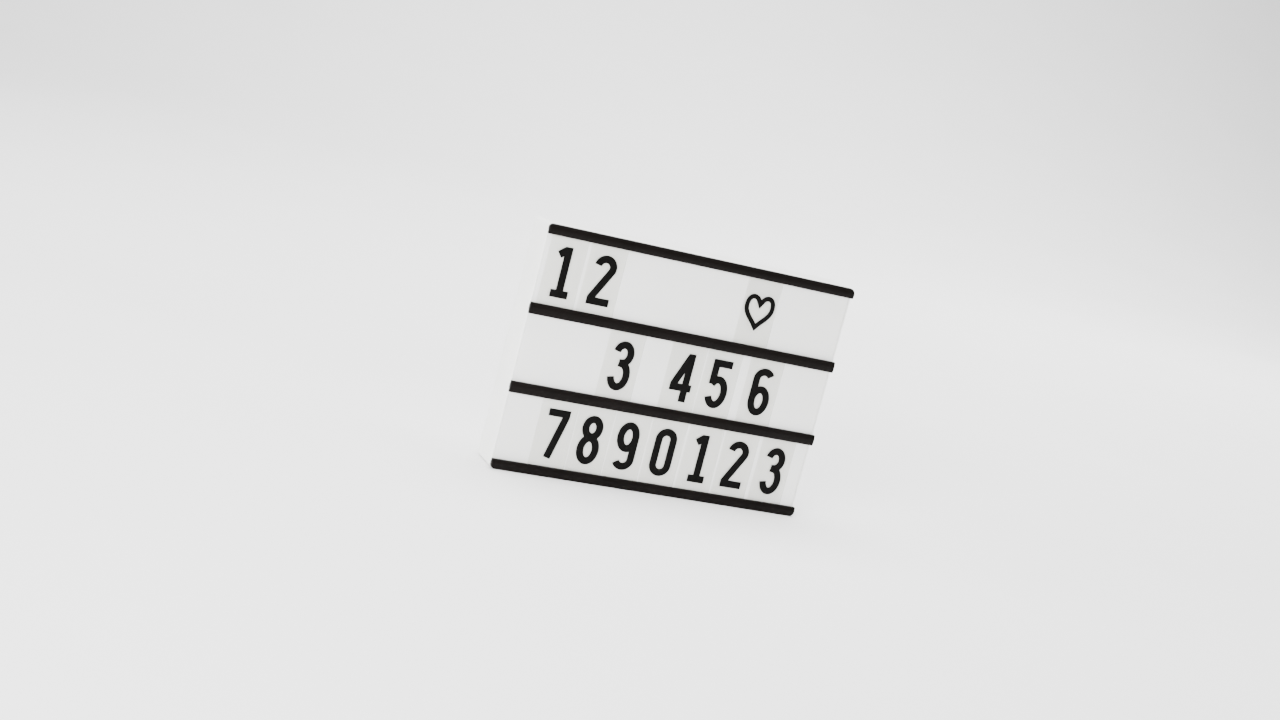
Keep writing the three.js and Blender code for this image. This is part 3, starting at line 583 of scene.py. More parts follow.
def make_materials():
    """One material for each slot of the record, the ink and the floor."""
    return {
        "white_abs": white_abs(),
        "opal_acrylic": opal_acrylic(),
        "black_abs": black_abs(),
        "clear_card": clear_pvc(),
        "ink": black_ink(),
        # Nickel-plated spring steel: a warm, bright plating
        "nickel_steel": plated_steel("nickel_plated_steel", "b3aea3", "cbc7bd", 0.2, 0.34),
        # Zinc-plated steel: a cool, slightly dull plating
        "zinc_steel": plated_steel("zinc_plated_steel", "8d8f90", "b0b2b3", 0.28, 0.42),
        # Epoxy board under a white solder mask, smooth and even
        "strip_board": plain_plastic("white_solder_mask", "e9e9e2", "f2f2ec", 0.35, 0.45, 0.8),
        # Epoxy board under a green solder mask, with a gloss
        "control_board": plain_plastic("green_solder_mask", "1d5a2c", "246634", 0.25, 0.35, 0.6),
        # Black nylon, moulded: satin, a little greyer than the rails
        "switch_plastic": plain_plastic(
            "black_nylon_moulded", "1b1b1b", "242424", 0.42, 0.52, 0.4, 1.53
        ),
        # PVC insulation, extruded: a strong red or black with a soft sheen
        "red_lead": plain_plastic(
            "red_pvc_insulation", "9c1a1a", "a82222", 0.38, 0.48, 0.5, 1.53
        ),
        "black_lead": plain_plastic(
            "black_pvc_insulation", "151515", "1c1c1c", 0.38, 0.48, 0.5, 1.53
        ),
        # Painted studio floor, even and matt
        "floor": plain_plastic("floor_paint", "eeeeee", "f0f0f0", 0.75, 0.85, 40),
    }


# Outlines, as points across and up in millimetres


def arc(x, z, radius_x, radius_z, start, end, steps):
    """Points of an arc between two angles in degrees, both ends included."""
    angles = [radians(start + (end - start) * i / steps) for i in range(steps + 1)]
    return [(x + radius_x * cos(a), z + radius_z * sin(a)) for a in angles]


def circle(x, z, radius, steps=CIRCLE_STEPS):
    return arc(x, z, radius, radius, 0, 360, steps)[:-1]


def rectangle(low_x, high_x, low_z, high_z):
    return [(low_x, low_z), (high_x, low_z), (high_x, high_z), (low_x, high_z)]


def bar(x, width, low_z, high_z):
    """A rectangle about a middle in X."""
    return rectangle(x - width / 2, x + width / 2, low_z, high_z)


def centred_bar(x, width, z, height):
    """A rectangle about a middle in X and Z."""
    return bar(x, width, z - height / 2, z + height / 2)


def cross_outline(x, z, length, stroke):
    """A cross with four arms of the same width, for a screw's slot or a plus mark."""
    long, short = length / 2, stroke / 2
    arm = [(long, -short), (long, short), (short, short)]
    turns = ((1, 0), (0, 1), (-1, 0), (0, -1))
    return [(x + a * c - b * s, z + a * s + b * c) for c, s in turns for a, b in arm]


def rounded(corners, radius):
    """A rectangle's outline with round corners, anticlockwise seen from the front."""
    (low_x, low_z), _, (high_x, high_z), _ = corners
    left, right, bottom, top = low_x + radius, high_x - radius, low_z + radius, high_z - radius
    middles = ((right, bottom), (right, top), (left, top), (left, bottom))
    points = []
    for i, (x, z) in enumerate(middles):
        points += arc(x, z, radius, radius, 90 * i - 90, 90 * i, CORNER_STEPS)
    return points


def housing_outline(inset):
    radius = max(CORNER - inset, EDGE)
    return rounded(bar(0, 2 * (HALF_WIDTH - inset), inset, HEIGHT - inset), radius)


def turned(loop, anticlockwise):
    """The loop, reversed if it runs the other way round."""
    area = sum(a[0] * b[1] - b[0] * a[1] for a, b in zip(loop, loop[1:] + loop[:1]))
    return loop if (area > 0) == anticlockwise else loop[::-1]


def mitre(before, here, after):
    """The direction in which a corner moves to its left, and what its length is divided by."""
    first = (Vector(here) - Vector(before)).normalized()
    second = (Vector(after) - Vector(here)).normalized()
    left = Vector((-first.y - second.y, first.x + second.x))
    return left, max(1 + first.dot(second), MITRE_LIMIT)


def offset_loop(loop, distance):
    """The loop moved to its left by distance, with mitred corners."""
    moved = []
    for before, here, after in zip(loop[-1:] + loop[:-1], loop, loop[1:] + loop[:1]):
        left, divisor = mitre(before, here, after)
        scale = distance / divisor
        moved.append((here[0] + left.x * scale, here[1] + left.y * scale))
    return moved


def quarter_turn(steps):
    """Angles from 0 to a right angle."""
    return [pi / 2 * i / steps for i in range(steps + 1)]


def edge_stations(low, high, low_edge, high_edge):
    """Depths and insets of a flat solid's wall, whose two ends may be rounded."""
    stations = []
    for end, edge, inward in ((low, low_edge, 1), (high, high_edge, -1)):
        bow = [
            (end + inward * edge * (1 - cos(a)), edge * (1 - sin(a)))
            for a in quarter_turn(EDGE_STEPS)
        ]
        stations += bow[::inward] if edge else [(end, 0)]
    return stations


# Solids, as vertices and faces in millimetres


def ring_faces(first, count, rings, closed=False):
    """The quadrilaterals between neighbouring rings of count vertices each."""
    faces = []
    for ring in range(rings if closed else rings - 1):
        near = first + ring * count
        far = first + (ring + 1) % rings * count
        for k in range(count):
            after = (k + 1) % count
            faces.append((near + k, near + after, far + after, far + k))
    return faces


def filled(loops):
    """Triangles, as pairs of loop and point, that fill the first loop outside the others."""
    points = [Vector(point) for loop in loops for point in loop]
    owners = [(i, k) for i, loop in enumerate(loops) for k in range(len(loop))]
    starts = [sum(len(loop) for loop in loops[:i]) for i in range(len(loops))]
    areas = [
        list(range(start, start + len(loop)))[::1 if turned(loop, True) is loop else -1]
        for start, loop in zip(starts, loops)
    ]
    _, _, triangles, sources, _, insides = delaunay_2d_cdt(points, [], areas, 0, FILL_TOLERANCE)
    # A triangle of the solid lies in the first area and in none of the holes
    return [
        [owners[sources[v][0]] for v in triangle]
        for triangle, inside in zip(triangles, insides)
        if inside == [0]
    ]


def plate(loops, low, high, edge=0, hole_edge=None, low_round=True):
    """A flat solid between two depths: the first loop is its outline and the others are holes.

    Its outline is rounded by edge at both depths, and its holes by hole_edge. If low_round is
    false, the end at the low depth stays sharp.
    """
    loops = [turned(loop, i == 0) for i, loop in enumerate(loops)]
    edges = [edge] + [edge if hole_edge is None else hole_edge] * (len(loops) - 1)
    walls = [edge_stations(low, high, e if low_round else 0, e) for e in edges]
    vertices, faces, starts, ends = [], [], [], []
    for loop, stations in zip(loops, walls):
        starts.append(len(vertices))
        ends.append(len(vertices) + (len(stations) - 1) * len(loop))
        for depth, inset in stations:
            vertices += [(x, depth, z) for x, z in offset_loop(loop, inset)]
        faces += ring_faces(starts[-1], len(loop), len(stations))
    for firsts, end in ((starts, 0), (ends, -1)):
        rims = [offset_loop(loop, stations[end][1]) for loop, stations in zip(loops, walls)]
        faces += [tuple(firsts[i] + k for i, k in triangle) for triangle in filled(rims)]
    return vertices, faces


def swept(outline, profile):
    """A closed profile of insets and depths, run round an outline that is given for each inset."""
    rings = [outline(inset) for inset, _ in profile]
    vertices = [(x, depth, z) for ring, (_, depth) in zip(rings, profile) for x, z in ring]
    return vertices, ring_faces(0, len(rings[0]), len(rings), closed=True)


def lofted(rings):
    """A solid through rings of points, with flat ends."""
    count = len(rings[0])
    vertices = [point for ring in rings for point in ring]
    faces = ring_faces(0, count, len(rings))
    faces.append(tuple(range(count)))
    faces.append(tuple(range(len(vertices) - count, len(vertices))))
    return vertices, faces


def turned_solid(profile, x, z, steps=CIRCLE_STEPS):
    """A round solid along Y from radii and depths."""
    return lofted([
        [(px, depth, pz) for px, pz in circle(x, z, radius, steps)] for radius, depth in profile
    ])


def tube(points, radius):
    """A round tube through the points."""
    rings = []
    across = Vector((0, 0, 1))
    angles = [2 * pi * k / WIRE_SIDES for k in range(WIRE_SIDES)]
    for before, point, after in zip(points[:1] + points, points, points[1:] + points[-1:]):
        along = (after - before).normalized()
        across = (across - along * across.dot(along)).normalized()
        up = along.cross(across)
        rings.append([
            tuple(point + (across * cos(a) + up * sin(a)) * radius) for a in angles
        ])
    return lofted(rings)


# Pieces


def solid_object(name, solid):
    """An object from one closed solid in millimetres, with its faces turned outwards."""
    vertices, faces = solid
    mesh = bpy.data.meshes.new(name)
    mesh.from_pydata([Vector(v) * MM for v in vertices], [], faces)
    work = bmesh.new()
    work.from_mesh(mesh)
    bmesh.ops.recalc_face_normals(work, faces=work.faces)
    work.to_mesh(mesh)
    work.free()
    return add_object(name, mesh)


def combine(piece, solids, operation):
    """Adds solids to a piece or cuts them out of it, and leaves one skin without inner faces."""
    if not solids:
        return
    others = [solid_object(piece.name + "_part", solid) for solid in solids]
    for other in others:
        step = piece.modifiers.new("step", "BOOLEAN")
        step.operation = operation
        step.solver = "MANIFOLD"
        step.object = other
    evaluated = piece.evaluated_get(bpy.context.evaluated_depsgraph_get())
    skin = bpy.data.meshes.new_from_object(evaluated)
    piece.modifiers.clear()
    piece.data = skin
    for other in others:
        bpy.data.objects.remove(other)


def make_piece(name, solids, slot, replaced=(), cutters=(), body="housing", material=None):
    """One object from its solids less its cutters, which rides on a body and replaces nodes.

    Its material is its slot's, unless another is named.
    """
    piece = solid_object(name, solids[0])
    combine(piece, solids[1:], "UNION")
    combine(piece, cutters, "DIFFERENCE")
    piece.data.shade_smooth()
    piece.data.set_sharp_from_angle(angle=SHARP_ANGLE)
    piece.data.materials.clear()
    piece.data.materials.append(MATERIALS[material or slot])
    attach(piece, body)
    if replaced:
        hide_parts(*replaced)


def dress_nodes():
    """The nodes that keep their own shape get their slot's material."""
    for entry in frame["record"]["subparts"]:
        node = frame["nodes"][entry["node"]]
        node.data.materials.clear()
        node.data.materials.append(MATERIALS[entry["material_slot"]])


# Front frame, panel and rails


def screw_places():
    """Each cover screw's name and middle."""
    names = [name for name in frame["nodes"] if name.startswith("cover_screw")]
    return [(name, *node_middle(name)) for name in names]


def peg_holes():
    """The outlines of the holes that the rails' pegs go through."""
    return [
        circle(side * PEG_PLACE, node_middle(rail)[1], PEG_RADIUS + FIT, STAKE_STEPS)
        for rail in RAILS
        for side in (-1, 1)
    ]


def post_ribs(x, z):
    """The outlines of the ribs that tie a screw post to the wall, and in a corner to both walls."""
    inside = (POST_RADIUS + SHANK_BORE) / 2
    side_z = copysign(1, z - HEIGHT / 2)
    wall_z = HEIGHT - WALL / 2 if side_z > 0 else WALL / 2
    ends = sorted((z + side_z * inside, wall_z))
    ribs = [bar(x, POST_RIB, *ends)]
    if abs(x) > HALF_WIDTH / 2:
        side_x = copysign(1, x)
        ends = sorted((x + side_x * inside, side_x * (HALF_WIDTH - WALL / 2)))
        ribs.append(rectangle(*ends, z - POST_RIB / 2, z + POST_RIB / 2))
    return ribs


def make_front_frame():
    """The frame with its walls, its panel ledge and its screw posts."""
    ledge_front = HOUSING_FRONT + PANEL_DEPTH
    ledge_back = ledge_front + LEDGE_THICKNESS
    ledge_inset = PANEL_RIM + LEDGE_WIDTH
    wall_back = FRAME_HIGH.y
    front_edge = [
        (SOFT_EDGE - SOFT_EDGE * cos(a), HOUSING_FRONT + SOFT_EDGE - SOFT_EDGE * sin(a))
        for a in quarter_turn(FRONT_STEPS)
    ]
    profile = [
        *front_edge,
        (PANEL_RIM, HOUSING_FRONT),
        (PANEL_RIM, ledge_front),
        (ledge_inset, ledge_front),
        (ledge_inset, ledge_back),
        (WALL, ledge_back),
        (WALL, wall_back),
        (0, wall_back),
    ]
    solids = [swept(housing_outline, profile)]
    post_end = CUP_SEAT - CUP_FLOOR - FIT
    for _, x, z in screw_places():
        post = [circle(x, z, POST_RADIUS), circle(x, z, SHANK_BORE)]
        solids.append(plate(post, ledge_back, post_end))
        solids += [plate([rib], ledge_back, post_end) for rib in post_ribs(x, z)]
    cutters = [plate([hole], ledge_front - FIT, ledge_back + FIT) for hole in peg_holes()]
    make_piece("frame_shell", solids, "white_abs", ["front_frame"], cutters)


def make_panel():
    low, high = node_box("diffuser_panel")
    outline = rounded(rectangle(low.x, high.x, low.z, high.z), CORNER - PANEL_RIM)
    solid = plate([outline, *peg_holes()], low.y, high.y, EDGE, hole_edge=0)
    make_piece("opal_panel", [solid], "opal_acrylic", ["diffuser_panel"])


def rail_section(low, high, lower_groove, upper_groove):
    """The rail's outline in Y and Z: a base, and a crowned front with a lip over each groove."""
    base = HOUSING_FRONT - FIT
    lip = HOUSING_FRONT - GROOVE_WIDTH
    middle_z = (low.z + high.z) / 2
    half = (high.z - low.z) / 2 - RAIL_ROUND
    round_y = low.y + RAIL_CROWN + RAIL_ROUND
    low_round = (round_y, low.z + RAIL_ROUND, RAIL_ROUND, RAIL_ROUND)
    high_round = (round_y, high.z - RAIL_ROUND, RAIL_ROUND, RAIL_ROUND)
    points = [(base, low.z + lower_groove), (base, high.z - upper_groove)]
    if upper_groove:
        points += [(lip, high.z - upper_groove), (lip, high.z)]
    points += arc(*high_round, 90, 180, RAIL_ROUND_STEPS)
    for i in range(1, RAIL_CROWN_STEPS):
        share = 1 - 2 * i / RAIL_CROWN_STEPS
        points.append((low.y + RAIL_CROWN * share * share, middle_z + half * share))
    points += arc(*low_round, 180, 270, RAIL_ROUND_STEPS)
    if lower_groove:
        points += [(lip, low.z), (lip, low.z + lower_groove)]
    return points


def corner_drop(distance):
    """How far the housing's round corner lies inside its edge, at a distance from the end."""
    if distance >= CORNER:
        return 0
    return CORNER - sqrt(CORNER ** 2 - (CORNER - distance) ** 2)


def make_rail(name, lower_groove, upper_groove, round_side):
    """A rail with softened ends and two pegs at its back."""
    low, high = node_box(name)
    section = turned(rail_section(low, high, lower_groove, upper_groove), True)
    middle_z = (low.z + high.z) / 2
    end = [(EDGE * (1 - cos(a)), EDGE * (1 - sin(a))) for a in RAIL_END_ANGLES]
    if round_side:
        steps = RAIL_CORNER_STEPS
        end += [(EDGE + (CORNER - EDGE) * i / steps, 0) for i in range(1, steps + 1)]
    stations = [(low.x + distance, distance, inset) for distance, inset in end]
    stations += [(high.x - distance, distance, inset) for distance, inset in end[::-1]]
    rings = []
    for x, distance, inset in stations:
        drop = corner_drop(distance)
        ring = []
        for y, z in offset_loop(section, inset):
            reach = (z - middle_z) / (high.z - middle_z)
            if reach * round_side > 0:
                z -= reach * drop
            ring.append((x, y, z))
        rings.append(ring)
    peg = [(PEG_RADIUS, HOUSING_FRONT - FIT), (PEG_RADIUS, high.y)]
    pegs = [turned_solid(peg, side * PEG_PLACE, middle_z) for side in (-1, 1)]
    make_piece(name + "_bar", [lofted(rings), *pegs], "black_abs", [name])


# Figures on the cards


def ring_halves(z, radius_x, radius_z):
    """The two halves of a ring, which reach a little over each other."""
    return [
        arc(0, z, radius_x, radius_z, 90 + RING_LAP, -90 - RING_LAP, RING_STEPS),
        arc(0, z, radius_x, radius_z, 90 - RING_LAP, 270 + RING_LAP, RING_STEPS),
    ]


def stroke_to(start, corner, side):
    """A straight stroke from start, whose right (side 1) or left (-1) edge ends at a corner."""
    gap = Vector(corner) - Vector(start)
    half = FIGURE_STROKE / 2
    length = sqrt(gap.length ** 2 - half ** 2)
    angle = atan2(gap.y, gap.x) + side * asin(half / gap.length)
    return [start, (start[0] + length * cos(angle), start[1] + length * sin(angle))]


def four_brace(stem, bar):
    """The slanting stroke of the 4, with its outer edge from the stem's top to the bar's end."""
    half = FIGURE_STROKE / 2
    top = Vector((stem - half, FIGURE_HEIGHT))
    foot = Vector((-FIGURE_WIDTH / 2, bar + half))
    slope = (foot - top).normalized()
    inward = Vector((-slope.y, slope.x)) * half
    return [tuple(top + inward), tuple(foot + inward)]


def figure_strokes():
    """Each figure's strokes as centre lines, from the figure's base and middle.

    The numbers are places, radii and angles in the drawing of each figure.
    """
    half = FIGURE_STROKE / 2
    side = (FIGURE_WIDTH - FIGURE_STROKE) / 2
    edge = side + half
    top = FIGURE_HEIGHT - half
    high_z = top - side
    low_z = half + side

    def bow(z, start, end, steps=12):
        return arc(0, z, side, side, start, end, steps)

    two_hook = bow(high_z, 172, -32, steps=24)
    three_high, three_low = 33, 13.6
    three_bow = top - three_high
    three_waist = (-2.6, three_high - three_bow)
    four_stem, four_bar = 4.4, 13
    five_stem = 1 - side
    six_bowl = 10.6
    six_z = half + six_bowl
    six = [
        *ring_halves(six_z, side, six_bowl),
        [(-side, six_z), *bow(high_z, 180, 28, steps=18)],
    ]
    seven_edge = edge - 0.4
    eight_high, eight_low = 33.2, 13.4
    return {
        "0": [
            [*bow(high_z, 90 + RING_LAP, 0), *bow(low_z, 0, -90 - RING_LAP)],
            [*bow(high_z, 90 - RING_LAP, 180), *bow(low_z, 180, 270 + RING_LAP)],
        ],
        "1": [
            [(1, 0), (1, FIGURE_HEIGHT)],
            stroke_to((-6.8, top - 4.4), (1 - half, FIGURE_HEIGHT), -1),
            [(-7.2, half - 0.3), (9.2, half - 0.3)],
        ],
        "2": [
            two_hook + stroke_to(two_hook[-1], (-edge, FIGURE_STROKE), 1)[1:],
            [(-edge, half), (edge, half)],
        ],
        "3": [
            [*arc(0, three_high, side - 0.5, three_bow, 168, -90, steps=28), three_waist],
            [three_waist, *arc(0, three_low, side, 10.7, 90, -168, steps=28)],
        ],
        "4": [
            [(four_stem, 0), (four_stem, FIGURE_HEIGHT)],
            four_brace(four_stem, four_bar),
            [(-edge, four_bar), (edge, four_bar)],
        ],
        "5": [
            [(1 - edge, top), (edge - 1, top)],
            [(five_stem, FIGURE_HEIGHT), (five_stem, 21.6)],
            arc(-0.2, 14.6, side + 0.2, 11.7, 146, -156, steps=34),
        ],
        "6": six,
        "7": [
            [(-seven_edge, top), (seven_edge, top)],
            stroke_to((-2.6, 0), (seven_edge, top - half), 1),
        ],
        "8": [
            *ring_halves(eight_high, side - 0.7, top - eight_high),
            *ring_halves(eight_low, side, 10.5),
        ],
        "9": [[(-x, FIGURE_HEIGHT - z) for x, z in stroke] for stroke in six],
    }


def heart_line():
    """A plain heart as one closed centre line, from its base and middle.

    Its right half is two Bezier curves: from the notch to the lobe's side, and on to the tip.
    Their ends and handles are shares of its height and half width.
    """
    side = (HEART_WIDTH - HEART_STROKE) / 2
    top = HEART_HEIGHT - HEART_STROKE / 2
    notch = Vector((0, top - 0.2 * HEART_HEIGHT))
    lobe = Vector((side, top - 0.27 * HEART_HEIGHT))
    tip = Vector((0, 0.8 * HEART_STROKE))
    lobe_handles = Vector((0.22 * side, top + 1.6)), Vector((side, top + 2.6))
    tip_handles = Vector((side, 0.45 * top)), Vector((0.3 * side, 0.3 * top))
    points = interpolate_bezier(notch, *lobe_handles, lobe, HEART_STEPS)
    points += interpolate_bezier(lobe, *tip_handles, tip, HEART_STEPS)[1:]
    ends = (points[0], points[-1])
    clear = [p for p in points[1:-1] if min((p - end).length for end in ends) > HEART_STROKE]
    right = [(p.x, p.y) for p in (ends[0], *clear, ends[1])]
    left = [(-x, z) for x, z in right[1:-1]]
    return right + left[::-1]


def stroke_quads(line, width, closed=False):
    """The quadrilaterals of a stroke of even width along a centre line."""
    points = [Vector(line[0])]
    for point in line[1:]:
        if (Vector(point) - points[-1]).length > SAME_POINT:
            points.append(Vector(point))
    padded = [points[0] * 2 - points[1], *points, points[-1] * 2 - points[-2]]
    if closed:
        padded = [points[-1], *points, points[0]]
    sides = []
    for before, here, after in zip(padded, padded[1:], padded[2:]):
        left, divisor = mitre(before, here, after)
        shift = left * (width / 2 / divisor)
        sides.append((here + shift, here - shift))
    following = sides[1:] + sides[:1] if closed else sides[1:]
    return [[a[0], a[1], b[1], b[0]] for a, b in zip(sides, following)]


def inked(strokes, x, z, front):
    """A thin printed solid: the union of the strokes, from the card's front towards the viewer."""
    corners, areas = [], []
    for quads in strokes:
        for quad in quads:
            areas.append(list(range(len(corners), len(corners) + len(quad))))
            corners += turned(quad, True)
    points, _, triangles, _, _, insides = delaunay_2d_cdt(corners, [], areas, 0, INK_TOLERANCE)
    kept = [face for face, inside in zip(triangles, insides) if inside]
    count = len(points)
    vertices = [
        (x + p.x, depth, z + p.y) for depth in (front, front - INK_THICKNESS) for p in points
    ]
    faces = [tuple(face) for face in kept]
    faces += [tuple(count + v for v in reversed(face)) for face in kept]
    # A side wall stands on each edge that has a triangle on one side only
    directed = {(a, b) for face in kept for a, b in zip(face, face[1:] + face[:1])}
    faces += [
        (a, count + a, count + b, b) for a, b in sorted(directed) if (b, a) not in directed
    ]
    # Points that no face uses are left out
    used = sorted({v for face in faces for v in face})
    index = {v: i for i, v in enumerate(used)}
    return [vertices[v] for v in used], [tuple(index[v] for v in face) for face in faces]


def make_figures():
    strokes = {
        name: [stroke_quads(line, FIGURE_STROKE) for line in lines]
        for name, lines in figure_strokes().items()
    }
    strokes["heart"] = [stroke_quads(heart_line(), HEART_STROKE, closed=True)]
    for row, figures in ROW_FIGURES.items():
        for number, (figure, shift) in enumerate(figures, 1):
            card = f"{row}_{number}"
            low, high = node_box(card)
            height = HEART_HEIGHT if figure == "heart" else FIGURE_HEIGHT
            x = (low.x + high.x) / 2 + shift
            z = (low.z + high.z - height) / 2
            solid = inked(strokes[figure], x, z, low.y)
            name = card.replace("card", "figure")
            make_piece(name, [solid], "black_abs", body=card, material="ink")


# Rear cover and battery bay


def row_middle(row):
    return BAY_LOW + (row + 0.5) * CELL_PITCH


def row_ribs(width):
    """The outlines of ribs between the cell rows."""
    heights = [BAY_LOW + row * CELL_PITCH for row in range(1, CELL_ROWS)]
    return [centred_bar(0, width, z, RIB_THICKNESS) for z in heights]


def bay_outline(grow):
    """The battery bay's inner outline, grown by a distance."""
    radius = min(max(grow, EDGE), DOOR_CORNER)
    return rounded(bar(0, 2 * (BAY_HALF + grow), BAY_LOW - grow, BAY_TOP + grow), radius)


def slotted_outline(grow):
    """The bay's outline, grown by a distance, with the slots that the door's tabs swing in."""
    low_z = BAY_LOW - grow
    slot_low = BAY_LOW - REBATE - TAB_LENGTH
    outline = bay_outline(grow)
    for side in (-1, 1):
        x = side * TAB_PLACE
        left, right = x - TAB_WIDTH / 2 - FIT, x + TAB_WIDTH / 2 + FIT
        outline += [(left, low_z), (left, slot_low), (right, slot_low), (right, low_z)]
    return outline


def stake_places():
    """The middles of the cover's stakes, which hold the battery bay's flange."""
    x = (BAY_HALF + REBATE + node_box("battery_bay")[1].x) / 2
    heights = (BAY_LOW + CELL_PITCH / 2, BAY_TOP - CELL_PITCH / 2)
    return [(side * x, z) for side in (-1, 1) for z in heights]


def keyhole_outline(x):
    neck_angle = degrees(asin(KEYHOLE_NECK / KEYHOLE_HEAD))
    ends = (90 + neck_angle, 450 - neck_angle)
    head = arc(x, KEYHOLE_HEIGHT, KEYHOLE_HEAD, KEYHOLE_HEAD, *ends, KEYHOLE_STEPS)
    neck_z = KEYHOLE_HEIGHT + KEYHOLE_RISE
    return head + arc(x, neck_z, KEYHOLE_NECK, KEYHOLE_NECK, 0, 180, NECK_STEPS)


def recess_middle():
    """The recess's middle: halfway between switch and socket, just above the board's lower edge."""
    x = (node_middle("usb_socket")[0] + node_middle("switch_body")[0]) / 2
    return x, node_box("control_board")[0].z + RECESS_RISE


def recess_outline(grow=0):
    x, z = recess_middle()
    plain = centred_bar(x, RECESS_WIDTH + 2 * grow, z, RECESS_HEIGHT + 2 * grow)
    return rounded(plain, DOOR_CORNER)


def recess_solids(inner):
    """The walls and floor of the recess for the switch and the socket, with its two marks."""
    outer = recess_outline(RECESS_WALL)
    switch_x, switch_z = node_middle("switch_body")
    slot = centred_bar(switch_x, SWITCH_SLOT_WIDTH, switch_z, SWITCH_SLOT_HEIGHT)
    low, high = node_box("usb_socket")
    socket = rectangle(low.x - FIT, high.x + FIT, low.z - FIT, high.z + FIT)
    openings = rounded(slot, SWITCH_SLOT_CORNER), rounded(socket, SOCKET_CORNER)
    mark_z = recess_middle()[1] - RECESS_HEIGHT / 2 + SWITCH_MARK
    radii = (SWITCH_MARK / 2, SWITCH_MARK / 2 - SWITCH_STROKE)
    off_mark = [circle(switch_x - SWITCH_MARK, mark_z, r, SMALL_CIRCLE_STEPS) for r in radii]
    on_mark = centred_bar(switch_x + SWITCH_MARK, SWITCH_STROKE, mark_z, SWITCH_MARK)
    return [
        plate([outer, recess_outline()], RECESS_SEAT, inner),
        plate([outer, *openings], RECESS_SEAT - RECESS_FLOOR, RECESS_SEAT),
        plate(off_mark, RECESS_SEAT, RECESS_SEAT + MARK_RELIEF),
        plate([on_mark], RECESS_SEAT, RECESS_SEAT + MARK_RELIEF),
    ]


def strip_pads(inner):
    """Three pads behind each LED strip."""
    pads = []
    for place in ("lower", "middle", "upper"):
        low, high = node_box("led_strip_" + place)
        reach = (high.x - low.x - STRIP_PAD_WIDTH) / 2
        for x in (-reach, 0, reach):
            pad = bar(x, STRIP_PAD_WIDTH, low.z, high.z)
            pads.append(plate([pad], inner - STRIP_STANDOFF, inner))
    return pads


def board_guides(inner):
    """Two guides for the control board's short edges, and the slot that is cut into both."""
    low, high = node_box("control_board")
    z = low.z + BOARD_THICKNESS / 2
    gap = BOARD_THICKNESS + 2 * FIT
    guides = [
        plate([centred_bar(x, GUIDE_THICKNESS, z, gap + 2 * GUIDE_WALL)], low.y, inner)
        for x in (low.x, high.x)
    ]
    slot = rectangle(low.x - FIT, high.x + FIT, z - gap / 2, z + gap / 2)
    return guides, plate([slot], low.y - FIT, RECESS_SEAT - RECESS_FLOOR)


def make_rear_cover():
    """The cover's plate in two layers, with all that stands on its inner face."""
    inner = HOUSING_BACK - COVER_THICKNESS
    skin = HOUSING_BACK - COVER_SKIN
    screws = [(x, z) for _, x, z in screw_places()]
    keyholes = [keyhole_outline(side * KEYHOLE_PLACE) for side in (-1, 1)]
    holes = [recess_outline(), *[circle(x, z, HEAD_BORE) for x, z in screws], *keyholes]
    lip, lip_inner = WALL + FIT, WALL + FIT + LIP_THICKNESS
    lip_end = inner - LIP_DEPTH
    lip_profile = [(lip, inner), (lip_inner, inner), (lip_inner, lip_end), (lip, lip_end)]
    slotted_loops = [housing_outline(0), slotted_outline(REBATE), *holes]
    skin_loops = [housing_outline(0), bay_outline(REBATE), *holes]
    solids = [
        plate(slotted_loops, inner, skin),
        plate(skin_loops, skin, HOUSING_BACK, SOFT_EDGE, COVER_HOLE_EDGE, low_round=False),
        swept(housing_outline, lip_profile),
    ]
    for x, z in screws:
        cup = circle(x, z, CUP_RADIUS)
        solids.append(plate([cup, circle(x, z, HEAD_BORE)], CUP_SEAT, inner))
        solids.append(plate([cup, circle(x, z, SHANK_BORE)], CUP_SEAT - CUP_FLOOR, CUP_SEAT))
    stake = [(STAKE_RADIUS, inner - STAKE_LENGTH), (STAKE_RADIUS, inner)]
    solids += [turned_solid(stake, x, z, STAKE_STEPS) for x, z in stake_places()]
    guides, board_slot = board_guides(inner)
    solids += recess_solids(inner) + strip_pads(inner) + guides
    make_piece("cover_shell", solids, "white_abs", ["rear_cover"], [board_slot])


def row_marks(row):
    """The outlines of a cell row's minus and plus marks, minus at the spring's end."""
    spring_low, _ = node_box(f"battery_spring_{row + 1}")
    x = copysign(BAY_HALF - MARK_PLACE, spring_low.x)
    z = row_middle(row)
    minus = centred_bar(x, MARK_LENGTH, z, MARK_STROKE)
    return minus, cross_outline(-x, z, MARK_LENGTH, MARK_STROKE)


def contact_slots():
    """Slots in the bay's end walls for the solder tabs of two contacts."""
    slots = []
    for name, (side, row) in CONTACT_TABS.items():
        x, low_y = side * (BAY_HALF + BAY_WALL / 2), node_box(name)[0].y
        width = CONTACT_TAB_WIDTH + 2 * FIT
        slot = centred_bar(x, BAY_WALL + 2 * FIT, row_middle(row), width)
        slots.append(plate([slot], low_y - FIT, low_y + CONTACT_THICKNESS + FIT))
    return slots


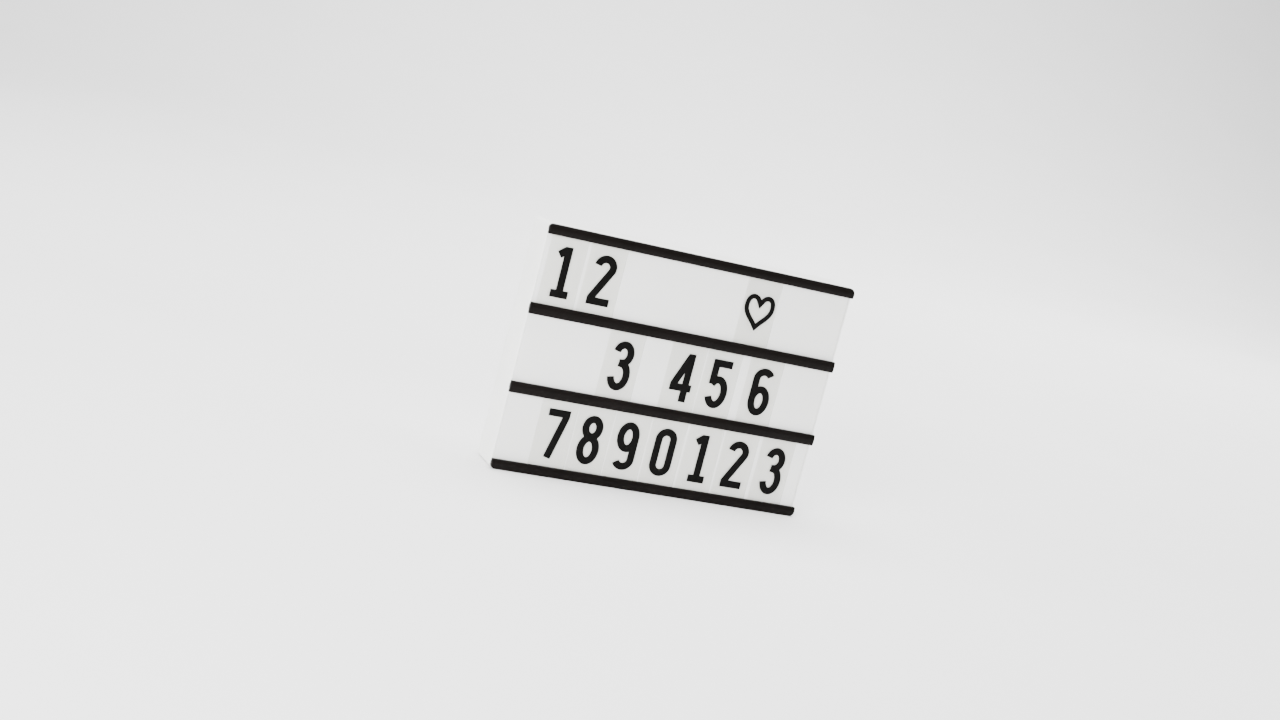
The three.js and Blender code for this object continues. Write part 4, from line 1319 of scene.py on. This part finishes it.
def make_battery_bay():
    """The battery bay's tray with its flange, cradle ribs and polarity marks."""
    low, high = node_box("battery_bay")
    floor = low.y + BAY_WALL
    flange_front = high.y - FLANGE_THICKNESS
    slot_front = HOUSING_BACK - FIT - hypot(DOOR_THICKNESS, TAB_LENGTH) - FIT
    flange = bay_outline(high.x - BAY_HALF)
    stake_holes = [circle(x, z, STAKE_RADIUS + FIT, STAKE_STEPS) for x, z in stake_places()]
    solids = [
        plate([bay_outline(BAY_WALL)], low.y, floor),
        plate([bay_outline(BAY_WALL), bay_outline(0)], floor, flange_front),
        plate([flange, bay_outline(0), *stake_holes], flange_front, slot_front),
        plate([flange, slotted_outline(0), *stake_holes], slot_front, high.y),
    ]
    for rib in row_ribs(2 * (BAY_HALF - RIB_INSET)):
        solids.append(plate([rib], floor, floor + CRADLE_HEIGHT, EDGE))
    for row in range(CELL_ROWS):
        for mark in row_marks(row):
            solids.append(plate([mark], floor, floor + MARK_RELIEF, MARK_EDGE))
    make_piece("bay_tray", solids, "white_abs", ["battery_bay"], contact_slots())


def make_battery_door():
    """The door with a sprung tongue and its grip, two hinge tabs and ribs over the cells."""
    low, high = node_box("battery_door")
    inner_y = high.y - DOOR_THICKNESS
    thumb_y = high.y - THUMB_DEPTH
    low_z = BAY_LOW - REBATE + FIT
    tongue_low = high.z - TONGUE_LENGTH
    half_tongue = TONGUE_WIDTH / 2
    outline = rounded(rectangle(low.x, high.x, low_z, high.z), DOOR_CORNER)
    # The slits are put in after the last point on the right half of the upper edge
    top = [i for i, (x, z) in enumerate(outline) if z > high.z - TOUCH and x > 0][-1]
    slits = []
    for side in (1, -1):
        left, right = sorted((side * half_tongue, side * (half_tongue + TONGUE_SLIT)))
        slits += [(right, high.z), (right, tongue_low), (left, tongue_low), (left, high.z)]
    notched = outline[:top + 1] + slits + outline[top + 1:]
    thumb = bar(0, 2 * (half_tongue - TONGUE_SLIT), tongue_low, high.z - TONGUE_SLIT)
    solids = [
        plate([notched], inner_y, thumb_y),
        plate([notched, rounded(thumb, DOOR_CORNER)], thumb_y, high.y),
    ]
    for i in range(GRIP_COUNT):
        z = tongue_low + (i + 1.5) * TONGUE_LENGTH / (GRIP_COUNT + 2)
        grip = centred_bar(0, half_tongue, z, GRIP_WIDTH)
        solids.append(plate([grip], thumb_y, thumb_y + THUMB_DEPTH - GRIP_DROP, GRIP_EDGE))
    for side in (-1, 1):
        tab = bar(side * TAB_PLACE, TAB_WIDTH, low.z, low_z)
        solids.append(plate([tab], inner_y, inner_y + TAB_THICKNESS))
    for rib in row_ribs(BAY_HALF):
        solids.append(plate([rib], inner_y - DOOR_RIB_DEPTH, inner_y))
    make_piece("door_shell", solids, "white_abs", ["battery_door"], body="battery_door")


# Screws, springs and the switch's knob


def thread_profile(low, high):
    """The ridges of a thread, as rings, which look like one from the outside."""
    starts = [low + i * THREAD_PITCH for i in range(int((high - low) / THREAD_PITCH))]
    return [(radius, start + share * THREAD_PITCH) for start in starts for radius, share in THREAD]


def make_screws():
    seat = CUP_SEAT + FIT
    for name, x, z in screw_places():
        low, high = node_box(name)
        radius = (high.x - low.x) / 2
        tip_end = low.y + SCREW_TIP_LENGTH
        profile = [
            (SCREW_TIP, low.y),
            (SCREW_CORE, tip_end),
            *thread_profile(tip_end, seat - SCREW_NECK),
            (SCREW_CREST, seat),
            (radius - HEAD_BEVEL, seat),
            (radius, seat + HEAD_BEVEL_DEPTH),
            *[(radius * share, high.y - depth) for share, depth in HEAD_DOME],
        ]
        solid = turned_solid(profile, x, z, SMALL_CIRCLE_STEPS)
        cross = cross_outline(x, z, radius, SLOT_WIDTH)
        slot = plate([cross], high.y - SLOT_DEPTH, high.y + FIT)
        make_piece(name + "_turned", [solid], "zinc_steel", [name], [slot])


def spring_line(name, row):
    """The conical spring's centre line, from its wide end to its narrow end."""
    low, high = node_box(name)
    axis_y = node_box("battery_bay")[0].y + BAY_WALL + CELL_PITCH / 2
    start, end = low.x + SPRING_WIRE, high.x - SPRING_WIRE
    if low.x >= 0:
        start, end = end, start
    wide, narrow = SPRING_WIDE - SPRING_WIRE, SPRING_NARROW - SPRING_WIRE
    points = []
    for i in range(SPRING_STEPS + 1):
        share = i / SPRING_STEPS
        radius = wide + (narrow - wide) * share
        angle = share * SPRING_TURNS * 2 * pi
        points.append(Vector((
            start + (end - start) * share,
            axis_y + radius * cos(angle),
            row_middle(row) + radius * sin(angle),
        )))
    return points


def make_springs():
    for row in range(CELL_ROWS):
        name = f"battery_spring_{row + 1}"
        solid = tube(spring_line(name, row), SPRING_WIRE)
        make_piece(name + "_wire", [solid], "nickel_steel", [name])


def make_knob():
    """The knob's stem and cap, with ridges across the way it slides."""
    low, high = node_box("switch_knob")
    middle_x, middle_z = node_middle("switch_knob")
    cap_low = RECESS_SEAT + FIT
    cap_high = high.y - KNOB_RIDGE_HEIGHT
    stem = centred_bar(middle_x, KNOB_STEM_WIDTH, middle_z, KNOB_STEM_HEIGHT)
    cap = rectangle(low.x, high.x, low.z, high.z)
    solids = [plate([stem], low.y, cap_low), plate([cap], cap_low, cap_high, KNOB_EDGE)]
    width = (high.x - low.x) / (2 * KNOB_RIDGES - 1)
    low_z, high_z = low.z + KNOB_RIDGE_INSET, high.z - KNOB_RIDGE_INSET
    for i in range(KNOB_RIDGES):
        ridge = bar(low.x + (2 * i + 0.5) * width, width, low_z, high_z)
        solids.append(plate([ridge], cap_high - KNOB_RIDGE_ROOT, high.y, KNOB_RIDGE_EDGE))
    make_piece("knob_moulding", solids, "switch_plastic", ["switch_knob"], body="switch_knob")


make_camera()
MATERIALS = make_materials()
make_studio()
make_floor()
dress_nodes()
make_front_frame()
make_panel()
for rail, shape in RAILS.items():
    make_rail(rail, *shape)
make_figures()
make_rear_cover()
make_battery_bay()
make_battery_door()
make_screws()
make_springs()
make_knob()
